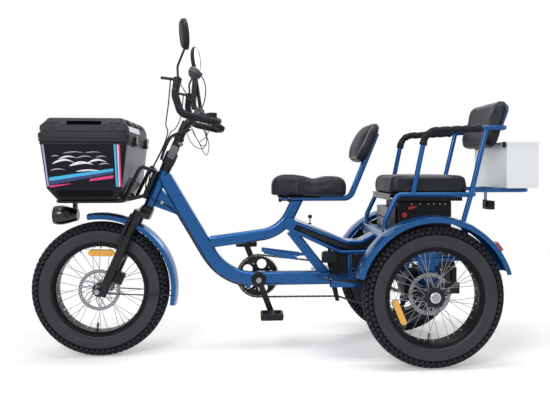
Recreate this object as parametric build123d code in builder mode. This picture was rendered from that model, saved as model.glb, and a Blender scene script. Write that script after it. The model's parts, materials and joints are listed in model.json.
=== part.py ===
from build123d import *
import os
from math import atan2, cos, degrees, pi, radians, sin, sqrt, tan

# Electric cargo tricycle: +X forward, +Y to the rider's left, +Z up, floor at Z = 0.
# The origin is on the floor, midway between the front tyre and the back of the rear bin.

# ---- Driving dimensions (mm) --------------------------------------------------------------
WHEELBASE = 1405
TYRE_RADIUS = 296
TYRE_WIDTH = 98
REAR_TRACK = 610
REAR_OVERHANG = 503
BEAD_RADIUS = 203
SHOULDER_INSET = 5
CROWN_DROP = 14
CROWN_INSET = 22
RIM_WIDTH = 80
RIM_LIP = 10
RIM_DEPTH = 15
FIT = 0.05
SEAT_GAP = 0.3
OPEN_GAP = 1.0

HEAD_TILT = 24
FORK_OFFSET = 42
FORK_LENGTH = 419
HEAD_TUBE_LENGTH = 165
HEAD_TUBE_RADIUS = 23
STEERER_RADIUS = 15
LEG_SPACING = 150
LEG_SETBACK = 20
LEG_RADIUS = 20
STANCHION_RADIUS = 15

FRONT_CENTRE = 692
BB_HEIGHT = 330
CRANK_LENGTH = 152
CRANK_ANGLE = 249
PEDAL_OFFSET = 92

REAR_AXLE_X = -(WHEELBASE + TYRE_RADIUS + REAR_OVERHANG) / 2 + REAR_OVERHANG
FRONT_AXLE_X = REAR_AXLE_X + WHEELBASE
AXLE_Z = TYRE_RADIUS
WHEEL_Y = REAR_TRACK / 2
BB_X = FRONT_AXLE_X - FRONT_CENTRE

# ---- Steering frame: local x forward, local z up the steering axis, s = 0 abreast of the axle
AXIS_UP = Vector(-sin(radians(HEAD_TILT)), 0, cos(radians(HEAD_TILT)))
AXIS_FWD = Vector(cos(radians(HEAD_TILT)), 0, sin(radians(HEAD_TILT)))
STEER_FOOT = Vector(FRONT_AXLE_X, 0, AXLE_Z) - AXIS_FWD * FORK_OFFSET
STEER = Plane(origin=STEER_FOOT, x_dir=AXIS_FWD, z_dir=AXIS_UP)
HEAD_TOP = FORK_LENGTH + HEAD_TUBE_LENGTH


def steer_point(s, forward=0, side=0):
    """Point at height s up the steering axis, shifted forward and to the left."""
    return STEER_FOOT + AXIS_UP * s + AXIS_FWD * forward + Vector(0, side, 0)


def flipped(point, side):
    """Point with its Y mirrored when side is -1."""
    return (point[0], point[1] * side, point[2])


def save(builder, name):
    """Label a finished sub-part and write its STEP file."""
    builder.part.label = name
    export_step(builder.part, f"parts/{name}.step")


def route_line(points, bends):
    """Straight runs joined by tangent arcs; bends is one radius or a list of them."""
    with BuildLine() as route:
        if len(points) == 2:
            Line(*points)
        else:
            FilletPolyline(*points, radius=bends)
    return route.line


def add_tube(points, bends, radius, mode=Mode.ADD):
    """Sweep a round tube along the route."""
    line = route_line(points, bends)
    with BuildSketch(Plane(origin=line @ 0, z_dir=line % 0)) as section:
        Circle(radius)
    sweep(section.sketch, path=line, mode=mode)


def add_bar(points, bends, width, depth, corner, mode=Mode.ADD):
    """Sweep a rounded rectangle, width along Y, along a route in an XZ plane."""
    line = route_line(points, bends)
    with BuildSketch(Plane(origin=line @ 0, x_dir=(0, 1, 0), z_dir=line % 0)) as section:
        RectangleRounded(width, depth, corner)
    sweep(section.sketch, path=line, mode=mode)


def add_rod(start, end, radius, mode=Mode.ADD):
    """Straight round rod between two points."""
    start = Vector(*start)
    end = Vector(*end)
    with BuildSketch(Plane(origin=start, z_dir=end - start)) as section:
        Circle(radius)
    extrude(section.sketch, amount=(end - start).length, mode=mode)


def add_block(x_span, y_span, z_span, mode=Mode.ADD):
    """Block between the given limits."""
    centre = ((x_span[0] + x_span[1]) / 2, (y_span[0] + y_span[1]) / 2)
    with BuildSketch(Plane.XY.offset(z_span[0])) as section:
        with Locations(centre):
            Rectangle(abs(x_span[1] - x_span[0]), abs(y_span[1] - y_span[0]))
    extrude(section.sketch, amount=z_span[1] - z_span[0], mode=mode)


def add_side_plate(points, y_span, mode=Mode.ADD):
    """Flat plate with an outline in X and Z, between two Y values."""
    plane = Plane(origin=(0, y_span[0], 0), x_dir=(1, 0, 0), z_dir=(0, -1, 0))
    with BuildSketch(plane) as section:
        with BuildLine():
            Polyline(*points, close=True)
        make_face()
    extrude(section.sketch, amount=y_span[0] - y_span[1], mode=mode)


# ---- Wheels --------------------------------------------------------------------------------
TYRE_HALF = TYRE_WIDTH / 2
RIM_HALF = RIM_WIDTH / 2
RIM_INNER = BEAD_RADIUS - RIM_DEPTH
LIP_THICK = 4
BEAD_HALF = RIM_HALF - LIP_THICK
SECTION_HEIGHT = TYRE_RADIUS - BEAD_RADIUS
SPOKE_RADIUS = 1.3
SPOKES_PER_SET = 9
FLANGE_RADIUS = 34
FLANGE_THICK = 4
FLANGE_HALF = 28
HUB_BARREL = 20
SPOKE_LEAN = 38
ROTOR_RADIUS = 90
ROTOR_BAND = 74
ROTOR_ARMS = 6
ROTOR_THICK = 2
AXLE_RADIUS = 7
REAR_AXLE_RADIUS = 9


def wheel_plane(x, y):
    """Sketch plane through the axle: local x across the wheel, local y outwards."""
    return Plane(origin=(x, y, AXLE_Z), x_dir=(0, 1, 0), z_dir=(1, 0, 0))


def build_tyre(name, x, y):
    """Fat tyre casing seated between the rim lips."""
    with BuildPart() as tyre:
        with BuildSketch(wheel_plane(x, y)):
            with BuildLine():
                Polyline(
                    (0, BEAD_RADIUS), (BEAD_HALF, BEAD_RADIUS), (BEAD_HALF, BEAD_RADIUS + RIM_LIP + OPEN_GAP),
                    (TYRE_HALF - 1, BEAD_RADIUS + 0.33 * SECTION_HEIGHT),
                    (TYRE_HALF, BEAD_RADIUS + 0.56 * SECTION_HEIGHT),
                    (TYRE_HALF - SHOULDER_INSET, TYRE_RADIUS - CROWN_DROP),
                    (TYRE_HALF - CROWN_INSET, TYRE_RADIUS), (0, TYRE_RADIUS), close=True)
            make_face()
            mirror(about=Plane.YZ)
        revolve(axis=Axis((x, y, AXLE_Z), (0, 1, 0)))
    save(tyre, name)


def build_rim(name, x, y):
    """Double-wall rim with two lips."""
    with BuildPart() as rim:
        with BuildSketch(wheel_plane(x, y)):
            with BuildLine():
                Polyline(
                    (0, BEAD_RADIUS), (BEAD_HALF, BEAD_RADIUS),
                    (BEAD_HALF, BEAD_RADIUS + RIM_LIP), (RIM_HALF, BEAD_RADIUS + RIM_LIP),
                    (RIM_HALF, RIM_INNER + 6), (RIM_HALF - 8, RIM_INNER), (0, RIM_INNER), close=True)
            make_face()
            mirror(about=Plane.YZ)
        revolve(axis=Axis((x, y, AXLE_Z), (0, 1, 0)))
    save(rim, name)


def spoke(x, y, hub_offset, rim_offset, start, lean):
    """One spoke from a flange hole to just inside the rim."""
    foot_radius = FLANGE_RADIUS - 4
    tip_radius = RIM_INNER - SEAT_GAP
    foot = Vector(x + foot_radius * cos(radians(start)), y + hub_offset,
                  AXLE_Z + foot_radius * sin(radians(start)))
    tip = Vector(x + tip_radius * cos(radians(start + lean)), y + rim_offset,
                 AXLE_Z + tip_radius * sin(radians(start + lean)))
    with BuildSketch(Plane(origin=foot, z_dir=tip - foot)) as section:
        RegularPolygon(SPOKE_RADIUS, 6)
    return extrude(section.sketch, amount=(tip - foot).length, mode=Mode.PRIVATE)


def build_hub(name, x, y, left_end, right_end, bore, rotor_y):
    """Hub shell with its two flanges, laced spokes and brake disc; ends given as Y values."""
    with BuildPart() as hub:
        add_rod((x, right_end, AXLE_Z), (x, left_end, AXLE_Z), HUB_BARREL)
        for offset in (FLANGE_HALF, -FLANGE_HALF):
            low = y + offset - FLANGE_THICK / 2
            add_rod((x, low, AXLE_Z), (x, low + FLANGE_THICK, AXLE_Z), FLANGE_RADIUS)
        with BuildSketch(Plane(origin=(x, rotor_y + ROTOR_THICK / 2, AXLE_Z), x_dir=(1, 0, 0),
                               z_dir=(0, -1, 0))) as rotor:
            Circle(ROTOR_RADIUS)
            Circle(ROTOR_BAND, mode=Mode.SUBTRACT)
            with PolarLocations(0, ROTOR_ARMS):
                with Locations((ROTOR_BAND / 2 + 6, 15)):
                    Rectangle(ROTOR_BAND - 6, 6)
            Circle(HUB_BARREL + 12)
        extrude(rotor.sketch, amount=ROTOR_THICK)
        spokes = []
        for side in (1, -1):
            for index in range(SPOKES_PER_SET):
                step = 360 / SPOKES_PER_SET * index + (0 if side > 0 else 10)
                spokes.append(spoke(x, y, side * FLANGE_HALF, side * 9, step, SPOKE_LEAN))
                spokes.append(spoke(x, y, side * FLANGE_HALF, side * 4, step + 20, -SPOKE_LEAN))
        add(spokes)
        add_rod((x, right_end - 1, AXLE_Z), (x, left_end + 1, AXLE_Z), bore, mode=Mode.SUBTRACT)
    save(hub, name)


# ---- Main frame ----------------------------------------------------------------------------
DOWN_TUBE_WIDTH = 56
DOWN_TUBE_DEPTH = 62
DOWN_TUBE_CORNER = 18
DOWN_TUBE_BEND = 230
DOWN_TUBE_TOP = 145
RUN_END_X = REAR_AXLE_X + 392
MID_TUBE_WIDTH = 46
MID_TUBE_DEPTH = 52
MID_TUBE_CORNER = 14
SEAT_TUBE_X = REAR_AXLE_X + 531
SADDLE_BASE = 704
SADDLE_HEIGHT = 86
RAIL_SIZE = 26
RAIL_TOP = SADDLE_BASE - SEAT_GAP
SEAT_TUBE_Z = RAIL_TOP - 3.7
STRUT_SIZE = 44
PIVOT_HALF = 53
BEAM_PLATE_THICK = 16
BEAM_INSERT_DEPTH = 24
STAY_Y = 44
STAY_TUBE = 9
LOW_STAY_Z = 449
CROSS_FRONT_X = REAR_AXLE_X + 180
CROSS_REAR_X = REAR_AXLE_X - 163
CROSS_SIZE = 32
CROSS_FRONT_DEPTH = 48
CROSS_TOP = 560
CROSS_HALF = 220
PIVOT_X = REAR_AXLE_X + 573
PIVOT_Z = 580
PIVOT_RADIUS = 26
BB_SHELL_RADIUS = 27
BB_SHELL_HALF = 36
SPINDLE_RADIUS = 9
GLAND_X = (BB_X + 36, BB_X + 58)
GUSSET_HOLE = (FRONT_AXLE_X - 264, 671)
BEAM_KNEE_X = REAR_AXLE_X + 320
BEAM_KNEE_Z = 493


def beam_route(drop, start, end):
    """Corner points of the rear beam, offset below it by drop, between two distances ahead of the axle."""
    slope = (PIVOT_Z + 13 - BEAM_KNEE_Z) / (575 - 320)
    line = [Vector(REAR_AXLE_X + start, 0, BEAM_KNEE_Z + slope * (start - 320)),
            Vector(BEAM_KNEE_X, 0, BEAM_KNEE_Z), Vector(REAR_AXLE_X + 254, 0, BEAM_KNEE_Z - 1),
            Vector(REAR_AXLE_X + end, 0, BEAM_KNEE_Z - 1 + 0.55 * (254 - end))]
    runs = [(second - first).normalized() for first, second in zip(line, line[1:])]
    normals = [Vector(run.Z, 0, -run.X) for run in runs]
    normals = [normal * (-1 if normal.Z > 0 else 1) for normal in normals]
    points = [line[0] + normals[0] * drop]
    for corner, before, after in zip(line[1:-1], normals, normals[1:]):
        points.append(corner + (before + after) * (drop / (1 + before.dot(after))))
    return points + [line[-1] + normals[-1] * drop]


def build_main_frame():
    """Head tube, down tube, mid and seat tube, strut, beam plate and lower stays, all welded."""
    down_top = steer_point(FORK_LENGTH + DOWN_TUBE_TOP, -8)
    corner_x = BB_X + 150
    mid_start = Vector(BB_X + 215, 0, BB_HEIGHT + 166)
    mid_corner = Vector(PIVOT_X + 38, 0, BB_HEIGHT + 208)
    with BuildPart() as main_frame:
        with BuildSketch(STEER.offset(FORK_LENGTH)) as head:
            Circle(HEAD_TUBE_RADIUS)
        extrude(head.sketch, amount=HEAD_TUBE_LENGTH)
        add_bar([down_top, (corner_x, 0, BB_HEIGHT), (RUN_END_X, 0, BB_HEIGHT)], DOWN_TUBE_BEND,
                DOWN_TUBE_WIDTH, DOWN_TUBE_DEPTH, DOWN_TUBE_CORNER)
        add_bar([mid_start, mid_corner, (SEAT_TUBE_X, 0, SEAT_TUBE_Z)], 165,
                MID_TUBE_WIDTH, MID_TUBE_DEPTH, MID_TUBE_CORNER)
        add_bar([(PIVOT_X - 5, 0, PIVOT_Z - 35), (RUN_END_X + 22, 0, BB_HEIGHT + 20)], 0,
                STRUT_SIZE, STRUT_SIZE, 8)
        gusset = [steer_point(FORK_LENGTH + 4, -15), steer_point(FORK_LENGTH + 90, -15),
                  Vector(FRONT_AXLE_X - 345, 0, 640), Vector(FRONT_AXLE_X - 338, 0, 616)]
        add_side_plate([(p.X, p.Z) for p in gusset], (-4, 4))
        add_rod((BB_X, -BB_SHELL_HALF, BB_HEIGHT), (BB_X, BB_SHELL_HALF, BB_HEIGHT), BB_SHELL_RADIUS)
        add_rod((PIVOT_X, -PIVOT_HALF, PIVOT_Z), (PIVOT_X, PIVOT_HALF, PIVOT_Z), PIVOT_RADIUS)
        add_bar(beam_route(0, 575, 170), 60, 2 * PIVOT_HALF, BEAM_PLATE_THICK, 6)
        for side in (1, -1):
            add_tube([(PIVOT_X + 17, side * STAY_Y, PIVOT_Z - 18), (REAR_AXLE_X + 347, side * STAY_Y, LOW_STAY_Z),
                      (CROSS_FRONT_X, side * STAY_Y, LOW_STAY_Z),
                      (CROSS_FRONT_X, side * STAY_Y, CROSS_TOP - CROSS_FRONT_DEPTH)], [60, 25], STAY_TUBE)
        with BuildSketch(STEER.offset(FORK_LENGTH - 40)) as bore:
            Circle(STEERER_RADIUS + FIT)
        extrude(bore.sketch, amount=HEAD_TUBE_LENGTH + 80, mode=Mode.SUBTRACT)
        with BuildSketch(STEER.offset(HEAD_TOP)) as trim:
            Circle(60)
        extrude(trim.sketch, amount=60, mode=Mode.SUBTRACT)
        add_block((SEAT_TUBE_X - 60, SEAT_TUBE_X + 60), (-40, 40),
                  (RAIL_TOP - RAIL_SIZE - SEAT_GAP, SEAT_TUBE_Z + 60), mode=Mode.SUBTRACT)
        add_block((CROSS_FRONT_X - 60, CROSS_FRONT_X + CROSS_SIZE / 2), (-80, 80),
                  (CROSS_TOP - CROSS_FRONT_DEPTH, CROSS_TOP + 60), mode=Mode.SUBTRACT)
        add_rod((GUSSET_HOLE[0], -6, GUSSET_HOLE[1]), (GUSSET_HOLE[0], 6, GUSSET_HOLE[1]), 7, mode=Mode.SUBTRACT)
        add_block(GLAND_X, (-20, 20), (BB_HEIGHT - 42, BB_HEIGHT - 26))
        add_rod((BB_X, -BB_SHELL_HALF - 1, BB_HEIGHT), (BB_X, BB_SHELL_HALF + 1, BB_HEIGHT),
                SPINDLE_RADIUS + FIT, mode=Mode.SUBTRACT)
    save(main_frame, "main_frame")


def build_beam_inserts():
    """Black filler under the beam plate and the small junction box hung from the left stay."""
    drop = (BEAM_PLATE_THICK + BEAM_INSERT_DEPTH) / 2 + SEAT_GAP
    with BuildPart() as beam_inserts:
        add_bar(beam_route(drop, 520, 206), 60, 2 * PIVOT_HALF - 14, BEAM_INSERT_DEPTH, 4)
        for side in (1, -1):
            add_tube([(PIVOT_X + 17, side * STAY_Y, PIVOT_Z - 18), (REAR_AXLE_X + 347, side * STAY_Y, LOW_STAY_Z),
                      (CROSS_FRONT_X, side * STAY_Y, LOW_STAY_Z)], 60, STAY_TUBE + SEAT_GAP, mode=Mode.SUBTRACT)
    save(beam_inserts, "beam_inserts")
    with BuildPart() as junction_box:
        add_block((REAR_AXLE_X + 366, REAR_AXLE_X + 430), (STAY_Y - 24, STAY_Y + 18), (405, 450))
        fillet(junction_box.edges().filter_by(Axis.Y), 8)
        add_block((REAR_AXLE_X + 388, REAR_AXLE_X + 404), (STAY_Y - 6, STAY_Y + 6), (440, 480))
        add_tube([(PIVOT_X + 17, STAY_Y, PIVOT_Z - 18), (REAR_AXLE_X + 347, STAY_Y, LOW_STAY_Z)], 0,
                 STAY_TUBE + SEAT_GAP, mode=Mode.SUBTRACT)
        add_block((REAR_AXLE_X + 380, REAR_AXLE_X + 412), (STAY_Y - 10, STAY_Y + 10), (470, 500),
                  mode=Mode.SUBTRACT)
    save(junction_box, "junction_box")


SIDE_BEAM_Y = 214
SIDE_BEAM_Z = 440
SIDE_BEAM_RADIUS = 13
LOWER_RAIL_Z = BB_HEIGHT
LOWER_RAIL_Y = 150
FENDER_GAP_RADIUS = 37
FENDER_WALL = 2.5
FENDER_HALF = 55
FENDER_SKIRT = 26
AXLE_PLATE_THICK = 8


def build_rear_frame():
    """Welded rear carrier: cross-members, side beams, posts and axle plates."""
    fender_inner_y = WHEEL_Y - FENDER_HALF
    with BuildPart() as rear_frame:
        add_block((RUN_END_X - 40, RUN_END_X), (-LOWER_RAIL_Y, LOWER_RAIL_Y), (BB_HEIGHT - 20, BB_HEIGHT + 20))
        for x in (CROSS_FRONT_X, CROSS_REAR_X):
            half = CROSS_SIZE / 2
            depth = CROSS_FRONT_DEPTH if x == CROSS_FRONT_X else CROSS_SIZE
            add_block((x - half, x + half), (-CROSS_HALF, CROSS_HALF), (CROSS_TOP - depth, CROSS_TOP))
            for side in (1, -1):
                add_block((x - 8, x + 8), (side * CROSS_HALF, side * (fender_inner_y - SEAT_GAP)),
                          (CROSS_TOP - 8, CROSS_TOP + 10))
        for side in (1, -1):
            add_block((CROSS_REAR_X + 10, CROSS_FRONT_X - 10), (side * 90, side * 110),
                      (CROSS_TOP - 26, CROSS_TOP - 2))
            add_tube([(RUN_END_X - 20, side * (LOWER_RAIL_Y - 20), LOWER_RAIL_Z),
                      (REAR_AXLE_X + 310, side * LOWER_RAIL_Y, LOWER_RAIL_Z),
                      (REAR_AXLE_X + 190, side * (SIDE_BEAM_Y - 30), LOWER_RAIL_Z),
                      (REAR_AXLE_X + 112, side * SIDE_BEAM_Y, SIDE_BEAM_Z),
                      (REAR_AXLE_X - 172, side * SIDE_BEAM_Y, SIDE_BEAM_Z)], [60, 30, 30],
                     SIDE_BEAM_RADIUS)
            for x in (CROSS_FRONT_X, CROSS_REAR_X):
                low = SIDE_BEAM_Z if x == CROSS_REAR_X else LOWER_RAIL_Z
                add_rod((x, side * (SIDE_BEAM_Y - 12), low), (x, side * (SIDE_BEAM_Y - 12), CROSS_TOP - 20), 11)
            add_side_plate([(REAR_AXLE_X - 50, SIDE_BEAM_Z + 48), (REAR_AXLE_X + 42, SIDE_BEAM_Z + 48),
                            (REAR_AXLE_X + 42, SIDE_BEAM_Z - 30), (REAR_AXLE_X + 24, AXLE_Z - 26),
                            (REAR_AXLE_X - 24, AXLE_Z - 26), (REAR_AXLE_X - 50, SIDE_BEAM_Z - 30)],
                           (side * (SIDE_BEAM_Y + 4), side * (SIDE_BEAM_Y + 4 + AXLE_PLATE_THICK)))
            add_rod((REAR_AXLE_X + 306, side * STAY_Y, LOWER_RAIL_Z),
                    (REAR_AXLE_X + 306, side * STAY_Y, LOW_STAY_Z - STAY_TUBE - SEAT_GAP), 9)
        add_rod((REAR_AXLE_X + 306, -LOWER_RAIL_Y, LOWER_RAIL_Z), (REAR_AXLE_X + 306, LOWER_RAIL_Y, LOWER_RAIL_Z), 11)
        add_rod((REAR_AXLE_X, -300, AXLE_Z), (REAR_AXLE_X, 300, AXLE_Z), REAR_AXLE_RADIUS + FIT,
                mode=Mode.SUBTRACT)
    save(rear_frame, "rear_frame")


# ---- Footboards, controller and battery ------------------------------------------------------
DECK_THICK = 3
DECK_Z = LOWER_RAIL_Z + SIDE_BEAM_RADIUS + 7
DECK_INNER = 54
DECK_OUTER = 205


def build_foot_decks():
    """Left and right footboards lying on the lower cross-members."""
    front = RUN_END_X + 72
    back = REAR_AXLE_X + 205
    with BuildPart() as foot_decks:
        for side in (1, -1):
            with BuildSketch(Plane.XY.offset(DECK_Z + SEAT_GAP)) as board:
                with BuildLine():
                    Polyline((back, side * DECK_INNER), (front, side * DECK_INNER),
                             (front, side * (DECK_OUTER - 70)), (front - 45, side * DECK_OUTER),
                             (back, side * DECK_OUTER), close=True)
                make_face()
                fillet(board.vertices().filter_by_position(Axis.X, back + 60, front + 1), 25)
            extrude(board.sketch, amount=DECK_THICK)
            add_block((back, front - 47), (side * (DECK_OUTER - DECK_THICK), side * DECK_OUTER),
                      (DECK_Z - 30, DECK_Z + SEAT_GAP))
    save(foot_decks, "foot_decks")


BATTERY_X = (REAR_AXLE_X - 140, REAR_AXLE_X + 105)
BATTERY_HALF = 120
BATTERY_HEIGHT = 122
CONTROLLER_DEPTH = 38


def build_boxes():
    """Battery and controller boxes standing on the rear carrier."""
    base = CROSS_TOP - 2
    with BuildPart() as battery_box:
        add_block(BATTERY_X, (-BATTERY_HALF, BATTERY_HALF), (base, base + BATTERY_HEIGHT))
        fillet(battery_box.edges().filter_by(Axis.Z), 12)
        fillet(battery_box.edges().group_by(Axis.Z)[-1], 5)
    save(battery_box, "battery_box")
    with BuildPart() as battery_switch:
        face = BATTERY_HALF + SEAT_GAP
        add_rod((REAR_AXLE_X + 77, face, 620), (REAR_AXLE_X + 77, face + 14, 620), 11)
        add_rod((REAR_AXLE_X + 48, face, 652), (REAR_AXLE_X + 48, face + 10, 652), 7)
        add_side_plate([(REAR_AXLE_X + 60, 656), (REAR_AXLE_X + 24, 662), (REAR_AXLE_X + 24, 654),
                        (REAR_AXLE_X + 58, 642)], (face + 6, face + 12))
    save(battery_switch, "battery_switch")
    with BuildPart() as controller_box:
        start = BATTERY_X[1] + 6
        add_block((start, start + CONTROLLER_DEPTH), (-112, 112), (base, base + 96))
        fillet(controller_box.edges().filter_by(Axis.Z), 5)
    save(controller_box, "controller_box")


# ---- Rear axle, housing and brakes -----------------------------------------------------------
HUB_REAR_INNER = WHEEL_Y - 62
HUB_REAR_OUTER = WHEEL_Y + 36
ROTOR_Y = WHEEL_Y - 47
PLATE_OUTER = SIDE_BEAM_Y + 4 + AXLE_PLATE_THICK


def build_rear_axle():
    """Through axle, and the housing with the motor block around its middle."""
    with BuildPart() as rear_axle:
        end = HUB_REAR_OUTER + 6
        add_rod((REAR_AXLE_X, -end, AXLE_Z), (REAR_AXLE_X, end, AXLE_Z), REAR_AXLE_RADIUS)
        for side in (1, -1):
            add_rod((REAR_AXLE_X, side * (HUB_REAR_OUTER + OPEN_GAP), AXLE_Z),
                    (REAR_AXLE_X, side * (end + 2), AXLE_Z), 15)
            add_rod((REAR_AXLE_X, side * (PLATE_OUTER + SEAT_GAP), AXLE_Z),
                    (REAR_AXLE_X, side * (HUB_REAR_INNER - OPEN_GAP), AXLE_Z), 16)
    save(rear_axle, "rear_axle")
    with BuildPart() as axle_housing:
        reach = SIDE_BEAM_Y + 4 - SEAT_GAP
        add_rod((REAR_AXLE_X, -reach, AXLE_Z), (REAR_AXLE_X, reach, AXLE_Z), 24)
        add_rod((REAR_AXLE_X, 20, AXLE_Z), (REAR_AXLE_X, 150, AXLE_Z), 72)
        add_rod((REAR_AXLE_X, 30, AXLE_Z), (REAR_AXLE_X, 140, AXLE_Z), 80)
        add_rod((REAR_AXLE_X, -reach - 1, AXLE_Z), (REAR_AXLE_X, reach + 1, AXLE_Z),
                REAR_AXLE_RADIUS + FIT, mode=Mode.SUBTRACT)
    save(axle_housing, "axle_housing")


def build_rear_calipers():
    """Caliper astride each rear disc, on a bracket from the axle plate."""
    with BuildPart() as rear_calipers:
        for side in (1, -1):
            low = side * (ROTOR_Y - 16)
            high = side * (ROTOR_Y + 12)
            add_block((REAR_AXLE_X - 125, REAR_AXLE_X - 68), (low, high), (AXLE_Z + 2, AXLE_Z + 48))
            add_block((REAR_AXLE_X - 118, REAR_AXLE_X - 38), (side * (PLATE_OUTER + SEAT_GAP), low),
                      (AXLE_Z + 90, AXLE_Z + 110))
            add_block((REAR_AXLE_X - 118, REAR_AXLE_X - 100), (low, side * (ROTOR_Y - 6)),
                      (AXLE_Z + 20, AXLE_Z + 110))
            add_rod((REAR_AXLE_X, side * (ROTOR_Y - 3), AXLE_Z), (REAR_AXLE_X, side * (ROTOR_Y + 3), AXLE_Z),
                    ROTOR_RADIUS + 3, mode=Mode.SUBTRACT)
    save(rear_calipers, "rear_calipers")


# ---- Fenders ----------------------------------------------------------------------------------
LEG_Y = LEG_SPACING / 2
LEG_TOP = 265
CROWN_LOW = 362
SHOULDER_TOP = 387
CROWN_HIGH = FORK_LENGTH - 9
STANCHION_FORWARD = FORK_OFFSET - LEG_SETBACK
ARCH_LOW = 345


def add_fender(x, y, first, last):
    """Crowned fender round a wheel, from one angle to another, measured up from +X."""
    crown = TYRE_RADIUS + FENDER_GAP_RADIUS + FENDER_WALL
    turned = Plane(origin=(x, y, AXLE_Z), x_dir=(0, 1, 0),
                   z_dir=(sin(radians(first)), 0, -cos(radians(first))))
    with BuildSketch(turned) as section:
        with BuildLine():
            low = crown - FENDER_SKIRT
            edge = crown - 8
            Line((-FENDER_HALF, low), (-FENDER_HALF, edge))
            ThreePointArc((-FENDER_HALF, edge), (0, crown), (FENDER_HALF, edge))
            Line((FENDER_HALF, edge), (FENDER_HALF, low))
            Line((FENDER_HALF, low), (FENDER_HALF - FENDER_WALL, low))
            Line((FENDER_HALF - FENDER_WALL, low), (FENDER_HALF - FENDER_WALL, edge - 2))
            ThreePointArc((FENDER_HALF - FENDER_WALL, edge - 2), (0, crown - FENDER_WALL),
                          (-FENDER_HALF + FENDER_WALL, edge - 2))
            Line((-FENDER_HALF + FENDER_WALL, edge - 2), (-FENDER_HALF + FENDER_WALL, low))
            Line((-FENDER_HALF + FENDER_WALL, low), (-FENDER_HALF, low))
        make_face()
    revolve(section.sketch, axis=Axis((x, y, AXLE_Z), (0, -1, 0)), revolution_arc=last - first)


STAY_RADIUS = 2.5
REAR_FENDER_SPAN = (15, 163)
FRONT_FENDER_SPAN = (81, 193)


def build_rear_fenders():
    """One fender over each rear wheel."""
    with BuildPart() as rear_fenders:
        for side in (1, -1):
            add_fender(REAR_AXLE_X, side * WHEEL_Y, *REAR_FENDER_SPAN)
    save(rear_fenders, "rear_fenders")


def build_front_fender():
    """Front fender and the wire stay that holds its tail."""
    crown = TYRE_RADIUS + FENDER_GAP_RADIUS + FENDER_WALL
    tail = radians(FRONT_FENDER_SPAN[1] - 8)
    tail_radius = crown - FENDER_SKIRT + 6
    with BuildPart() as front_fender:
        add_fender(FRONT_AXLE_X, 0, *FRONT_FENDER_SPAN)
        with BuildSketch(STEER.offset(crown - 2)) as boss:
            with Locations((FORK_OFFSET + 3, 0)):
                Rectangle(12, 24)
        extrude(boss.sketch, amount=ARCH_LOW - SEAT_GAP - crown + 2)
        for side in (1, -1):
            add_rod(steer_point(4, STANCHION_FORWARD - LEG_RADIUS - SEAT_GAP - 1, side * LEG_Y),
                    (FRONT_AXLE_X + tail_radius * cos(tail), side * (FENDER_HALF + 1),
                     AXLE_Z + tail_radius * sin(tail)), STAY_RADIUS)
    save(front_fender, "front_fender")


# ---- Fork and front axle ------------------------------------------------------------------------


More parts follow.
